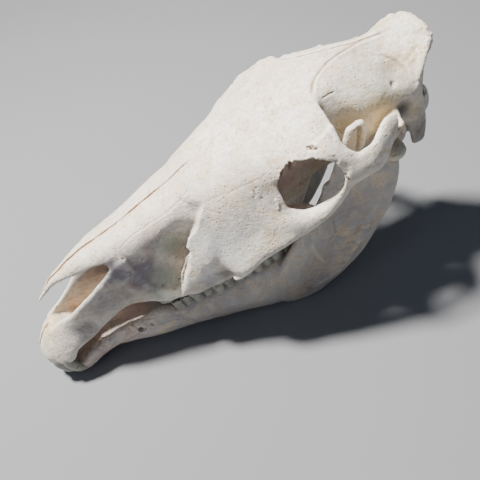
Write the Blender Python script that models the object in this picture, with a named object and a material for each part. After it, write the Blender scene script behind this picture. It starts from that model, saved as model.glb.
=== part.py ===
"""Zebra skull: the cranium, the lower jaw and 36 teeth, resting on the lower jaw.

Skull axes, in millimetres: x towards the animal's left, y back from the front of the snout, and
z up from the chewing surface of the cheek teeth. The whole skull is then tilted nose down by
REST_TILT, so that it stands on its chin and on the two angles of its lower jaw.
"""

import math

import bmesh
import bpy
import numpy as np
from mathutils import Matrix, Vector

MM = 0.001

# Where the skull stands
REST_TILT = math.radians(11.3)
FLOOR_DROP = 43.0
LENGTH_CENTRE = 229.2

# How finely the bones are formed
VOXEL = 2.6
SMOOTH_ROUNDS = 3
SMOOTH_FACTOR = 0.5
SPAN_STEPS = 4
CRANIUM_TRIANGLES = 3000
JAW_TRIANGLES = 1400
BLOB_SEGMENTS = 24

# Fit of the teeth
SOCKET_GAP = 0.35
BITE_GAP = 0.25
NEIGHBOUR_GAP = 0.4

# Face and forehead: half outlines from the middle of the roof, down the cheek, to the palate
FACE = [
    (128, [(0, 108.5), (10, 108), (20, 103), (26, 94), (28, 82), (28.5, 68), (28, 54), (28, 42),
           (28, 30), (28, 19), (22, 15), (12, 16), (0, 17)]),
    (150, [(0, 110.5), (11, 110), (22, 105), (28, 96), (30.5, 84), (31, 70), (31, 56), (31.5, 44),
           (39, 30), (41, 15), (21, 14), (11, 19), (0, 21)]),
    (180, [(0, 116), (13, 115.5), (25, 110), (32, 100), (34, 88), (34, 74), (35, 60), (39, 46),
           (47, 32), (52, 14), (22, 14), (12, 21), (0, 23)]),
    (210, [(0, 122.5), (15, 121.5), (30, 115), (37, 105), (39, 92), (40, 78), (42, 64), (47, 48),
           (55, 34), (58, 14), (23, 14), (13, 22), (0, 25)]),
    (240, [(0, 130), (18, 129), (35, 121.5), (45, 111), (54, 95), (66, 68), (79, 35), (67, 31),
           (61, 24), (59, 14), (25, 14), (14, 22), (0, 25)]),
    (270, [(0, 137), (20, 136), (40, 129), (52, 118), (62, 100), (73, 75), (85, 48), (72, 42),
           (61, 30), (59, 14), (27, 14), (14, 22), (0, 25)]),
    (296, [(0, 142.5), (22, 141.5), (45, 135), (58, 124), (67, 106), (78, 82), (90, 56), (76, 50),
           (58, 36), (51, 18), (30, 17), (14, 24), (0, 27)]),
    (312, [(0, 145), (24, 144), (50, 138), (64, 127), (70, 112), (80, 88), (93, 60), (80, 55),
           (60, 45), (46, 32), (30, 26), (14, 30), (0, 32)]),
]

# Inner skull from between the orbits to the nuchal crest
CORE = [
    (300, [(0, 143), (20, 142), (36, 138), (42, 125), (42, 100), (41, 80), (38, 62), (30, 50),
           (15, 46), (0, 45)]),
    (330, [(0, 149), (20, 148), (34, 143), (38, 125), (37, 100), (36, 80), (33, 64), (26, 52),
           (13, 46), (0, 45)]),
    (355, [(0, 155), (20, 154), (34, 149), (37, 128), (36, 104), (35, 84), (32, 66), (25, 54),
           (12, 47), (0, 46)]),
    (380, [(0, 158.5), (22, 158), (38, 154), (45, 138), (47, 118), (46, 98), (42, 78), (32, 62),
           (15, 53), (0, 51)]),
    (405, [(0, 158.5), (13, 158.5), (25, 155), (41, 141), (50, 122), (52, 103), (49, 84), (40, 66),
           (20, 55), (0, 52)]),
    (430, [(0, 155), (6, 155.5), (14, 152), (34, 139), (48, 121), (53, 103), (51, 84), (41, 66),
           (20, 54), (0, 50)]),
    (455, [(0, 149), (5, 149.5), (11, 146), (29, 136), (45, 120), (51, 102), (49, 86), (40, 68),
           (20, 55), (0, 50)]),
    (472, [(0, 147), (6, 147.5), (14, 144), (30, 134), (43, 120), (48, 102), (44, 84), (36, 68),
           (18, 57), (0, 54)]),
    (484, [(0, 147), (8, 147), (16, 144), (28, 136), (35, 126), (37, 113), (33, 102), (24, 95),
           (12, 92), (0, 91)]),
    (494, [(0, 146), (9, 146), (18, 143), (27, 136), (31, 130), (30, 123), (25, 118), (16, 115),
           (8, 113), (0, 112)]),
    (502, [(0, 144.5), (10, 144.5), (19, 142), (26, 137), (28, 133), (26, 129), (20, 127),
           (13, 126), (6, 125.5), (0, 125.5)]),
    (506, [(0, 141), (8, 141), (15, 139.5), (20, 137), (22, 135), (20, 132.5), (15, 131.5),
           (10, 131), (5, 130.5), (0, 130.5)]),
]

# Roof plate over the orbits: its top from the middle to the rim, then its underside back
BROW = [
    (300, [(0, 142), (28, 140), (46, 134), (58, 124), (64, 116), (60, 112), (42, 118), (24, 122),
           (0, 122)]),
    (318, [(0, 147), (28, 145), (48, 139), (63, 129), (71, 119), (69, 113), (50, 124), (28, 130),
           (0, 130)]),
    (340, [(0, 151.5), (28, 149), (50, 144), (68, 137), (79, 131), (77, 125), (58, 129),
           (30, 138), (0, 138)]),
    (355, [(0, 155), (28, 153), (50, 149), (70, 141), (86, 127), (83, 121), (62, 132), (32, 141),
           (0, 142)]),
    (370, [(0, 158), (28, 157), (47, 153), (66, 144), (83, 129), (80, 124), (60, 136), (32, 146),
           (0, 146)]),
    (380, [(0, 160), (25, 160), (43, 157), (57, 149), (70, 136), (67, 131), (52, 142), (28, 150),
           (0, 150)]),
]

# Front of the upper jaw, which carries the incisors
SNOUT = [
    (-11.5, [(0, 7), (4, 6.5), (7, 4), (8, 1), (7, -2), (4, -4), (0, -4)]),
    (-5, [(0, 15), (6, 14), (12, 10), (16, 4), (15, -3), (8, -6), (0, -6)]),
    (4, [(0, 23), (7, 22.5), (15, 17), (22, 8), (23, -3), (13, -6), (0, -6)]),
    (12, [(0, 30), (7, 30), (15, 25), (25, 13), (28, -1), (16, -3), (0, -2)]),
    (22, [(0, 33), (7, 34), (15, 29), (26, 15), (30, -1), (17, 1), (0, 3)]),
    (34, [(0, 24), (8, 28), (14, 34), (24, 20), (27, 6), (16, 6), (0, 7)]),
    (46, [(0, 14), (8, 15), (13, 18), (18, 16), (20, 8), (12, 6), (0, 8)]),
]

# Nasal bones, which end in a free point over the nose opening
NASALS = [
    (37, [(0, 73.6), (1.3, 73.2), (1.9, 72), (1.6, 70.8), (1.2, 70.2), (0.6, 70), (0, 70)]),
    (50, [(0, 82.5), (2.8, 82), (4, 80), (3.6, 77.6), (2.4, 76.8), (1.2, 76.6), (0, 76.6)]),
    (64, [(0, 91.5), (4.4, 90.8), (6.6, 88), (6.2, 85), (4.4, 84), (2, 84), (0, 84.4)]),
    (80, [(0, 96.5), (6, 95.8), (10, 92.6), (10.6, 89.4), (7.6, 87.6), (4, 88.6), (0, 89.6)]),
    (95, [(0, 102), (8, 101), (13.6, 96), (15.2, 90), (11.6, 88.6), (6, 93), (0, 95)]),
    (110, [(0, 106), (9, 105), (17, 100), (19.6, 94), (15.6, 92), (8, 97), (0, 99)]),
    (128, [(0, 108.5), (10, 107.6), (21, 102), (25.6, 94), (20.6, 92), (11, 99), (0, 101.5)]),
    (146, [(0, 110), (11, 109.4), (22, 104.6), (28, 95), (22, 90), (11, 100), (0, 103)]),
]

# Nose passage, cut out of the face
NOSE_PASSAGE = [
    (104, [(0, 97), (10, 96), (18, 91), (20, 76), (20, 58), (18, 38), (11, 26), (0, 22)]),
    (130, [(0, 101), (11, 99), (20, 91), (23, 78), (24, 60), (21, 42), (12, 29), (0, 25)]),
    (160, [(0, 104), (13, 102), (22, 94), (25, 80), (26, 62), (23, 46), (12, 33), (0, 29)]),
    (200, [(0, 110), (14, 108), (26, 99), (31, 84), (31, 68), (26, 52), (13, 36), (0, 32)]),
    (245, [(0, 112), (15, 110), (28, 100), (33, 84), (31, 68), (25, 52), (13, 37), (0, 33)]),
    (280, [(0, 88), (12, 86), (21, 80), (24, 68), (23, 54), (20, 42), (12, 34), (0, 31)]),
    (300, [(0, 64), (10, 63), (17, 60), (19, 54), (19, 44), (18, 34), (12, 28), (0, 26)]),
]
CHOANA = [
    (286, [(0, 62), (10, 61), (17, 56), (18.5, 44), (18.5, 28), (18, 14), (10, 8), (0, 6)]),
    (310, [(0, 56), (10, 55), (16, 51), (18, 40), (18, 20), (18, 4), (10, -4), (0, -6)]),
    (345, [(0, 43), (9, 42), (15, 38), (17, 30), (17, 16), (17, 2), (10, -4), (0, -6)]),
]
BRAIN_HOLE = [
    (400, [(0, 126), (8, 124), (16, 116), (20, 106), (18, 92), (13, 82), (7, 78), (0, 77)]),
    (430, [(0, 128), (9, 126), (18, 118), (22, 106), (21, 90), (15, 76), (8, 71), (0, 70)]),
    (462, [(0, 112), (8, 110), (16, 104), (20, 94), (20, 82), (16, 70), (8, 64), (0, 62)]),
    (478, [(0, 90), (8, 89), (14, 84), (17, 77), (16, 70), (13, 63), (7, 59), (0, 58)]),
    (505, [(0, 90), (8, 89), (15, 84), (18, 77), (17, 69), (14, 62), (7, 57), (0, 56)]),
]

# Chin of the lower jaw, where its two halves are grown together
CHIN = [
    (-4, [(0, -33), (8, -33), (16, -33), (21, -37), (17, -41), (9, -42), (0, -42)]),
    (8, [(0, -31), (9, -30), (19, -27), (27, -32), (24, -43), (12, -47), (0, -47.5)]),
    (22, [(0, -33), (9, -31), (18, -24), (27, -27), (26, -42), (13, -49.5), (0, -50)]),
    (41, [(0, -34), (8, -32), (15, -21), (23, -20), (25, -35), (15, -46), (0, -48)]),
    (65, [(0, -34), (7, -32), (14, -19), (22, -17), (25, -30), (16, -43), (0, -46)]),
    (84, [(0, -36), (7, -34), (14, -19), (23, -13.5), (26, -28), (18, -44), (0, -46)]),
    (94, [(0, -40), (7, -39), (14, -34), (22, -18), (26, -28), (19, -44), (0, -46)]),
]

# Blades: edge one, edge two, then half the thickness at edge one, halfway and at edge two
PREMAXILLA = [
    ((29, 22, 0), (11, 20, 31), (4, 6, 4)),
    ((27, 36, 6), (13, 36, 38), (4, 5, 3)),
    ((22, 53, 5), (19, 55, 45), (5, 4, 3)),
    ((20, 75, 10), (23.5, 75, 56), (5, 4, 3)),
    ((20.5, 95, 14), (25.5, 95, 65), (5, 4, 3)),
    ((23, 117, 20), (26.5, 116, 76), (5, 4, 3)),
    ((27, 135, 18), (26.5, 133, 86), (5, 4, 3.5)),
    ((29, 150, 18), (28, 148, 92), (5, 4, 4)),
]
PALATE_SHELF = [
    ((13, 20, 4), (25, 20, 3), (4, 4, 4)),
    ((11, 45, 8), (22, 45, 8), (3.5, 4, 4)),
    ((10.5, 70, 12), (20, 70, 12), (3, 3.5, 4)),
    ((10.5, 95, 15), (20, 95, 16), (3, 3.5, 4)),
    ((6, 118, 18), (22, 118, 21), (3, 3.5, 4)),
    ((4, 140, 19), (24, 140, 21), (3, 3.5, 4)),
]
VOMER = [
    ((0, 16, 3), (0, 16, 14), (4, 4.5, 3)),
    ((0, 60, 8), (0, 60, 22), (4.5, 4, 3)),
    ((0, 110, 15), (0, 110, 32), (4.5, 3.5, 3)),
    ((0, 160, 22), (0, 160, 44), (4, 3.5, 3)),
    ((0, 250, 28), (0, 250, 56), (4, 3.5, 3)),
    ((0, 315, 40), (0, 315, 60), (3.5, 3.5, 3)),
]
CHEEK_PLATE = [
    ((52, 172, 19), (50, 173, 25), (3, 3, 2)),
    ((53, 182, 19), (49, 182, 43), (3, 5, 2)),
    ((54, 195, 20), (47, 195, 59), (4, 6, 2)),
    ((56, 209, 21), (44, 209, 78), (4, 9, 2)),
    ((58, 226, 24), (44, 226, 96), (5, 12, 2)),
    ((60, 240, 28), (43, 240, 109), (5, 11, 2)),
    ((61, 252, 30), (43, 252, 114), (4, 8, 2)),
]
FACIAL_CREST = [
    ((60, 221, 30), (70, 222, 33), (3, 3.5, 3)),
    ((62, 229, 30), (75, 228, 31), (5, 5, 3)),
    ((64, 249, 40), (78, 249, 37), (6, 6, 4)),
    ((68, 266, 50), (81, 266, 47), (7, 6, 4)),
    ((72, 288, 58), (85, 288, 55), (8, 7, 4)),
]
ARCH = [
    ((88, 290, 57), (70, 290, 92), (5, 9, 6)),
    ((90, 307, 60), (76, 308, 86), (4.5, 8, 4)),
    ((92, 330, 67), (83, 327, 76), (4.5, 6, 4)),
    ((93, 347, 75), (88, 345, 79), (4.5, 5.5, 4)),
    ((94, 362, 87), (90, 358, 91), (4.5, 5.5, 4)),
    ((95, 372, 95), (91, 372, 114), (4, 5, 3.5)),
    ((95, 387, 97), (90, 387, 116), (4, 5, 3.5)),
    ((93, 400, 95), (88, 402, 117), (4, 5, 3.5)),
    ((89, 410, 97), (83, 412, 122), (4, 5, 3.5)),
    ((85, 419, 106), (78, 421, 125), (3.5, 4.5, 3)),
    ((77, 430, 111), (71, 434, 120), (3, 4, 2)),
]
ARCH_ROOT = [
    ((88, 400, 107), (85, 418, 108), (4, 6, 4)),
    ((80, 404, 107), (78, 430, 108), (5, 6, 5)),
    ((66, 408, 108), (66, 436, 108), (6, 6, 6)),
    ((50, 404, 110), (48, 440, 108), (7, 8, 7)),
]
POST_GLENOID = [
    ((58, 437, 104), (72, 437, 106), (3.5, 4, 3)),
    ((60, 439, 94), (70, 439, 96), (3, 3.5, 3)),
    ((62, 439, 87), (68, 439, 88), (2.5, 3, 2.5)),
]
EYE_BAR = [
    ((72, 352, 136), (68, 374, 142), (5, 6, 5)),
    ((83, 357, 129), (80, 374, 132), (4, 5.5, 4)),
    ((87, 362, 120), (86, 378, 124), (3.5, 5.5, 3.5)),
    ((90.5, 368, 111), (89.5, 385, 115), (3.5, 5, 3.5)),
    ((92, 371, 102), (92, 388, 104), (3.5, 5, 3.5)),
]
PTERYGOID = [
    ((20, 284, 22), (24, 284, 60), (3, 4, 4)),
    ((20.5, 300, 12), (25, 300, 58), (3, 4, 5)),
    ((21, 318, 8), (26, 318, 56), (3, 4, 5)),
    ((21, 332, 20), (25, 336, 54), (3, 4, 5)),
    ((20, 345, 38), (23, 352, 54), (3, 4, 5)),
]
SIDE_CREST = [
    ((27, 497, 136), (20, 486, 133), (4, 5, 5)),
    ((37, 486, 129), (29, 477, 124), (3.5, 5, 5)),
    ((44.5, 474, 117), (36, 466, 112), (3.5, 5, 5)),
    ((47, 467, 103), (39, 459, 100), (3.5, 5, 5)),
    ((47, 464, 90), (39, 457, 88), (3.5, 5, 5)),
]
NECK_PROCESS = [
    ((45, 456, 92), (38, 476, 90), (5, 7, 5)),
    ((45, 459, 76), (40, 476, 74), (4, 5.5, 4)),
    ((44, 461, 56), (41, 475, 55), (3.5, 4.5, 3.5)),
    ((43, 462, 38), (41.5, 472, 37), (3, 3.5, 3)),
]

# One half of the lower jaw
JAW_BODY = [
    ((19, 70, -44), (20, 70, -20), (5, 6, 5)),
    ((22, 92, -46), (21, 92, -18), (7, 8, 5)),
    ((24, 112, -49), (25, 112, -18), (7, 9, 6)),
    ((26, 132, -53), (28, 132, -14), (7.5, 10, 7)),
    ((28, 155, -58), (30, 155, -23), (8, 10.5, 9.5)),
    ((32, 185, -65), (34, 185, -24.5), (8, 11.5, 10.5)),
    ((36, 211, -73), (37, 211, -24.5), (8, 12, 10.5)),
    ((40, 240, -82), (39.5, 240, -24.5), (8, 12, 10)),
    ((44, 262, -87), (42, 262, -24), (8, 11, 9.5)),
    ((47, 285, -88), (44, 285, -23), (8, 10, 9)),
    ((50, 312, -80), (50, 312, -20), (8, 8, 8)),
    ((52, 330, -60), (54, 330, -16), (6, 6, 6)),
]
RAMUS = [
    ((50, 282, -101), (51, 308, -102.5), (4, 6, 4)),
    ((49, 268, -94), (52, 324, -93), (5, 7, 6)),
    ((48, 262, -80), (54, 341, -80), (6, 6, 7)),
    ((50, 268, -58), (57, 369, -58), (6, 5, 7)),
    ((52, 278, -30), (59, 391, -32), (6, 4.5, 6.5)),
    ((55, 296, -6), (62, 406, -8), (6, 4.5, 6)),
    ((58, 318, 19), (66, 415.5, 18), (5, 4.5, 6)),
    ((62, 337, 44), (70, 421, 42), (4.5, 4.5, 5.5)),
    ((65, 349, 64), (73, 423, 62), (4, 4.5, 5.5)),
    ((66, 356, 78), (72, 421, 76), (4, 4.5, 5.5)),
]
CORONOID = [
    ((67, 354, 66), (68, 398, 66), (4, 4.5, 4)),
    ((68, 363, 84), (69, 394, 84), (3.5, 4, 3.5)),
    ((69, 372, 99), (69.5, 394, 99), (3.5, 3.5, 3.5)),
    ((69.5, 380, 112), (69, 400, 112), (3.5, 3.5, 3.5)),
    ((69, 386, 122), (68, 404, 122), (3.5, 3.5, 3.5)),
    ((68, 391, 130), (67, 402, 130), (3.5, 3.5, 3.5)),
]
JAW_CONDYLE = [
    ((59, 416, 89), (59, 422, 89), (3.5, 4, 3.5)),
    ((65, 413, 90), (65, 425, 90), (6, 7, 6)),
    ((76, 413, 90), (77, 426, 90), (6.5, 7.5, 6.5)),
    ((86, 416, 88), (87, 425, 88), (6, 6.5, 6)),
    ((91, 419, 87), (91, 423, 87), (3, 3, 3)),
]
JAW_NECK = [
    ((70, 405, 66), (73, 423, 64), (5, 6, 5)),
    ((70, 409, 80), (72, 425, 80), (7, 9, 7)),
    ((71, 412, 88), (72, 425, 88), (9, 12, 9)),
]

# Blobs: centre, radii, and turn about the x and z axes in degrees
CONDYLES = ((23, 481, 71), (12, 12, 18), (-18, 24))
TOOTH_BULGE = ((44, 298, 40), (13, 13, 24), (0, 0))
EYE_FLOOR = ((70, 312, 60), (20, 26, 13), (0, -16))
EAR_BONES = ((37, 444, 60), (11, 13, 14), (0, 0))
ORBIT = ((71, 340, 103), (34, 30.5, 25.5), (8, 0))

# Cheek teeth: name, front, length, middle of its width, width, front and rear width factors
UPPER_CHEEK_TEETH = [
    ("premolar_2", 144, 32, 31, 17, 0.5, 1.0),
    ("premolar_3", 176, 27, 37, 23, 0.86, 1.0),
    ("premolar_4", 203, 26, 40.5, 24, 1.0, 1.0),
    ("molar_1", 229, 23, 42.5, 24, 1.0, 1.0),
    ("molar_2", 252, 23, 43, 24, 1.0, 0.96),
    ("molar_3", 275, 24, 41.5, 21, 1.0, 0.62),
]
LOWER_CHEEK_TEETH = [
    ("premolar_2", 146, 29, 30, 12.5, 0.55, 1.0),
    ("premolar_3", 175, 26, 33, 14.5, 1.0, 1.0),
    ("premolar_4", 201, 26, 36.5, 15, 1.0, 1.0),
    ("molar_1", 227, 24, 38.5, 13.5, 1.0, 1.0),
    ("molar_2", 251, 25, 41, 13, 1.0, 0.95),
    ("molar_3", 276, 29, 43.5, 12, 1.0, 0.6),
]
# Outlines of a cheek tooth from above, as fractions of its length and width
UPPER_OUTLINE = [
    (-0.5, -0.28), (-0.34, -0.46), (-0.04, -0.5), (0.3, -0.46), (0.5, -0.28), (0.5, 0.34),
    (0.42, 0.48), (0.22, 0.4), (0.04, 0.5), (-0.04, 0.5), (-0.22, 0.4), (-0.42, 0.5), (-0.5, 0.34),
]
LOWER_OUTLINE = [
    (-0.5, -0.26), (-0.36, -0.47), (-0.06, -0.4), (0.3, -0.47), (0.5, -0.28), (0.5, 0.3),
    (0.34, 0.5), (0.1, 0.48), (0.02, 0.3), (-0.08, 0.48), (-0.36, 0.5), (-0.5, 0.28),
]
CHEEK_CROWN = 18.0
CHEEK_ROOT = 34.0
CHEEK_TAPER = 0.8

# Incisors: name, angle round the arcade in degrees, width
INCISORS = [("incisor_1", 17, 15.6), ("incisor_2", 49.5, 14.6), ("incisor_3", 80, 12.8)]
ARCADE_HALF_WIDTH = 28.5
ARCADE_DEPTH = 25.0
ARCADE_CENTRE = 16.0
INCISOR_THICKNESS = 10.6
INCISOR_BITE = -21.0
INCISOR_SIDES = 8
# Height over the bite, how far the tooth lies back there, and its size there
UPPER_INCISOR_RINGS = [(0, 0, 1.0), (10, -0.4, 1.0), (22, 2.8, 0.92), (36, 10, 0.66)]
LOWER_INCISOR_RINGS = [(0, 0, 0.96), (-7, 0.6, 0.94), (-14, 3.5, 0.84), (-20, 8.5, 0.55)]

BONE = ("bone", (0.80, 0.76, 0.68), 0.55)
JAW_BONE = ("jaw_bone", (0.74, 0.71, 0.66), 0.55)
ENAMEL = ("tooth", (0.66, 0.58, 0.44), 0.38)


def clear_scene():
    for thing in list(bpy.data.objects):
        bpy.data.objects.remove(thing, do_unlink=True)


def bone_material(name, colour, roughness):
    material = bpy.data.materials.new(name)
    material.use_nodes = True
    shader = material.node_tree.nodes["Principled BSDF"]
    shader.inputs["Base Color"].default_value = (*colour, 1.0)
    shader.inputs["Roughness"].default_value = roughness
    shader.inputs["Metallic"].default_value = 0.0
    return material


def smooth_rows(rows, steps):
    """Read a smooth curve through the rows, with so many steps between two of them."""
    rows = np.array(rows, dtype=float)
    flat = rows.reshape(len(rows), -1)
    spans = np.maximum(np.linalg.norm(np.diff(flat, axis=0), axis=1), 1e-6)
    slopes = np.diff(flat, axis=0) / spans[:, None]
    tangents = np.vstack([slopes[:1], slopes[-1:]]) if len(rows) == 2 else np.vstack([
        slopes[:1],
        (slopes[:-1] * spans[1:, None] + slopes[1:] * spans[:-1, None])
        / (spans[:-1] + spans[1:])[:, None],
        slopes[-1:],
    ])
    out = []
    for i, span in enumerate(spans):
        for k in range(steps):
            t = k / steps
            out.append(
                flat[i] * (2 * t**3 - 3 * t**2 + 1)
                + tangents[i] * span * (t**3 - 2 * t**2 + t)
                + flat[i + 1] * (3 * t**2 - 2 * t**3)
                + tangents[i + 1] * span * (t**3 - t**2)
            )
    out.append(flat[-1])
    return np.array(out).reshape(-1, *rows.shape[1:])


def mesh_from_rings(rings):
    """Skin a row of closed rings and cap both ends."""
    shape = bmesh.new()
    loops = [[shape.verts.new(Vector(point) * MM) for point in ring] for ring in rings]
    count = len(loops[0])
    for low, high in zip(loops, loops[1:]):
        for i in range(count):
            j = (i + 1) % count
            shape.faces.new((low[i], low[j], high[j], high[i]))
    shape.faces.new(list(reversed(loops[0])))
    shape.faces.new(loops[-1])
    bmesh.ops.recalc_face_normals(shape, faces=shape.faces)
    if shape.calc_volume(signed=True) < 0:
        bmesh.ops.reverse_faces(shape, faces=shape.faces)
    mesh = bpy.data.meshes.new("form")
    shape.to_mesh(mesh)
    shape.free()
    return mesh


def loft(stations):
    """A form with a left and a right half, from half outlines at places along the skull."""
    rows = [[(x, place, z) for x, z in outline] for place, outline in stations]
    rings = []
    for row in smooth_rows(rows, SPAN_STEPS):
        half = smooth_rows(row, SPAN_STEPS)
        half[:, 0] = np.maximum(half[:, 0], 0.0)
        half[0, 0] = 0.0
        half[-1, 0] = 0.0
        mirrored = half[-2:0:-1] * (-1, 1, 1)
        rings.append(np.vstack([half, mirrored]))
    return mesh_from_rings(rings)


def blade(stations, side=1):
    """A bone plate that runs between two edges, with rounded edges of their own thickness."""
    rows = smooth_rows([[*one, *two, *thick] for one, two, thick in stations], SPAN_STEPS)
    places = (rows[:, 0:3] + rows[:, 3:6]) / 2
    along = np.gradient(places, axis=0)
    rings = []
    for row, path in zip(rows, along):
        one, two, (first, middle, last) = row[0:3], row[3:6], row[6:9]
        across = two - one
        width = np.linalg.norm(across)
        across = across / width
        out = np.cross(across, path)
        out = out / np.linalg.norm(out)
        edge = [(-first, 0.0), (-first * 0.5, first * 0.7), (first * 0.4, first)]
        edge += [(width / 2, middle)]
        edge += [(width - last * 0.4, last), (width + last * 0.5, last * 0.7), (width + last, 0.0)]
        back = [(place, -half) for place, half in edge[-2:0:-1]]
        ring = [one + across * place + out * half for place, half in edge + back]
        rings.append(np.array(ring) * (side, 1, 1))
    return mesh_from_rings(rings)


def blob(shape, side=1):
    """A rounded lump: a sphere stretched to three radii and turned."""
    (x, y, z), radii, (pitch, yaw) = shape
    form = bmesh.new()
    bmesh.ops.create_uvsphere(
        form, u_segments=BLOB_SEGMENTS, v_segments=BLOB_SEGMENTS // 2, radius=MM
    )
    bmesh.ops.scale(form, vec=radii, verts=form.verts)
    for angle, axis in ((pitch, "X"), (yaw * side, "Z")):
        turn = Matrix.Rotation(math.radians(angle), 3, axis)
        bmesh.ops.rotate(form, matrix=turn, verts=form.verts)
    bmesh.ops.translate(form, vec=Vector((x * side, y, z)) * MM, verts=form.verts)
    mesh = bpy.data.meshes.new("form")
    form.to_mesh(mesh)
    form.free()
    return mesh


def both_sides(maker, shape):
    return [maker(shape, 1), maker(shape, -1)]


def joined(name, meshes):
    """One object from several closed forms that run into each other."""
    whole = bmesh.new()
    for mesh in meshes:
        whole.from_mesh(mesh)
        bpy.data.meshes.remove(mesh)
    mesh = bpy.data.meshes.new(name)
    whole.to_mesh(mesh)
    whole.free()
    thing = bpy.data.objects.new(name, mesh)
    bpy.context.scene.collection.objects.link(thing)
    return thing


def settle(thing):
    """Put the result of the object's modifiers into its mesh."""
    graph = bpy.context.evaluated_depsgraph_get()
    result = bpy.data.meshes.new_from_object(thing.evaluated_get(graph))
    thing.modifiers.clear()
    thing.data = result


def fuse(thing):
    """Grow the forms together into one skin and soften it."""
    remesh = thing.modifiers.new("fuse", "REMESH")
    remesh.mode = "VOXEL"
    remesh.voxel_size = VOXEL * MM
    soften = thing.modifiers.new("soften", "SMOOTH")
    soften.factor = SMOOTH_FACTOR
    soften.iterations = SMOOTH_ROUNDS
    settle(thing)


def cut(thing, cutters, name):
    """Cut one or more closed meshes out of an object."""
    tool = joined(name, cutters)
    tool.hide_render = True
    tool.display_type = "WIRE"
    boolean = thing.modifiers.new("cut", "BOOLEAN")
    boolean.operation = "DIFFERENCE"
    boolean.solver = "EXACT"
    boolean.object = tool
    settle(thing)
    bpy.data.objects.remove(tool, do_unlink=True)


def thin_out(thing, triangles):
    """Bring the mesh down to so many triangles, the same on both sides."""
    count = sum(len(face.vertices) - 2 for face in thing.data.polygons)
    fewer = thing.modifiers.new("fewer", "DECIMATE")
    fewer.ratio = min(1.0, triangles / count)
    fewer.use_collapse_triangulate = True
    fewer.use_symmetry = True
    fewer.symmetry_axis = "X"
    settle(thing)


def bone(name, forms, holes, triangles):
    thing = joined(name, forms)
    fuse(thing)
    if holes:
        for number, hole in enumerate(holes):
            cut(thing, [hole], f"hole_{number}")
        fuse(thing)
    thin_out(thing, triangles)
    return thing


def cranium():
    forms = [loft(stations) for stations in (FACE, CORE, BROW, SNOUT, NASALS)]
    forms.append(blade(VOMER))
    for stations in (PREMAXILLA, PALATE_SHELF, CHEEK_PLATE, FACIAL_CREST, ARCH, ARCH_ROOT,
                     POST_GLENOID, EYE_BAR, PTERYGOID, SIDE_CREST, NECK_PROCESS):
        forms += both_sides(blade, stations)
    for shape in (CONDYLES, TOOTH_BULGE, EYE_FLOOR, EAR_BONES):
        forms += both_sides(blob, shape)
    holes = [loft(NOSE_PASSAGE), loft(CHOANA), loft(BRAIN_HOLE), *both_sides(blob, ORBIT)]
    return bone("cranium", forms, holes, CRANIUM_TRIANGLES)


def lower_jaw():
    forms = [loft(CHIN)]
    for stations in (JAW_BODY, RAMUS, CORONOID, JAW_CONDYLE, JAW_NECK):
        forms += both_sides(blade, stations)
    return bone("lower_jaw", forms, [], JAW_TRIANGLES)


def cheek_tooth_rings(row, outline, side, above, grow):
    """Rings of a cheek tooth from its chewing face to the end of its root."""
    _, front, length, middle, width, narrow_front, narrow_rear = row
    length -= NEIGHBOUR_GAP
    levels = [(BITE_GAP, 1.0), (CHEEK_CROWN, 1.0), (CHEEK_ROOT, CHEEK_TAPER)]
    rings = []
    for place, (height, size) in enumerate(levels):
        reach = grow if place == len(levels) - 1 else 0.0
        ring = []
        for along, across in outline:
            narrow = narrow_front + (narrow_rear - narrow_front) * (along + 0.5)
            x = middle + across * (width * narrow * size + 2 * grow)
            y = front + length / 2 + along * (length * size + 2 * grow)
            ring.append((side * x, y, above * (height + reach)))
        rings.append(ring)
    return rings


def incisor_rings(angle, width, levels, side, grow):
    """Rings of an incisor, which leans back into the jaw as it goes in."""
    turn = math.radians(angle)
    out_x, out_y = math.sin(turn), -math.cos(turn)
    before, last = np.array(levels[-2]), np.array(levels[-1])
    step = last - before
    above = math.copysign(1.0, step[0])
    levels = [*levels[:-1], last + step * grow / abs(step[0])]
    rings = []
    for place, (height, back, size) in enumerate(levels):
        gap = BITE_GAP if place == 0 else 0.0
        middle_x = ARCADE_HALF_WIDTH * out_x - back * out_x * 0.7
        middle_y = ARCADE_CENTRE + ARCADE_DEPTH * out_y + back
        ring = []
        for k in range(INCISOR_SIDES):
            spin = 2 * math.pi * (k + 0.5) / INCISOR_SIDES
            across = math.cos(spin) * (width * size / 2 + grow)
            out = math.sin(spin) * (INCISOR_THICKNESS * size / 2 + grow)
            x = middle_x - across * out_y + out * out_x
            y = middle_y + across * out_x + out * out_y
            ring.append((side * x, y, INCISOR_BITE + height + above * gap))
        rings.append(ring)
    return rings


def teeth_of(jaw, cheek_rows, outline, incisor_levels, above):
    """Name and rings of every tooth of one jaw, and the rings of its socket."""
    for side, side_name in ((1, "left"), (-1, "right")):
        for row in cheek_rows:
            name = f"{jaw}_{side_name}_{row[0]}"
            yield (name, cheek_tooth_rings(row, outline, side, above, 0.0),
                   cheek_tooth_rings(row, outline, side, above, SOCKET_GAP))
        for tooth, angle, width in INCISORS:
            name = f"{jaw}_{side_name}_{tooth}"
            yield (name, incisor_rings(angle, width, incisor_levels, side, 0.0),
                   incisor_rings(angle, width, incisor_levels, side, SOCKET_GAP))


def add_teeth(holder, jaw, cheek_rows, outline, incisor_levels, above):
    """Make the teeth of one jaw and sink a socket for each in its bone."""
    teeth = []
    for name, rings, socket in teeth_of(jaw, cheek_rows, outline, incisor_levels, above):
        teeth.append(joined(name, [mesh_from_rings(rings)]))
        cut(holder, [mesh_from_rings(socket)], f"{name}_socket")
    return teeth


def rest_on_floor(things):
    """Tilt the skull nose down about its own x axis and stand it on the floor."""
    stand = bpy.data.objects.new("skull", None)
    bpy.context.scene.collection.objects.link(stand)
    stand.rotation_euler = (REST_TILT, 0.0, 0.0)
    stand.location = (0.0, -LENGTH_CENTRE * MM, FLOOR_DROP * MM)
    for thing in things:
        thing.parent = stand
    bpy.context.view_layer.update()
    return stand


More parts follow.
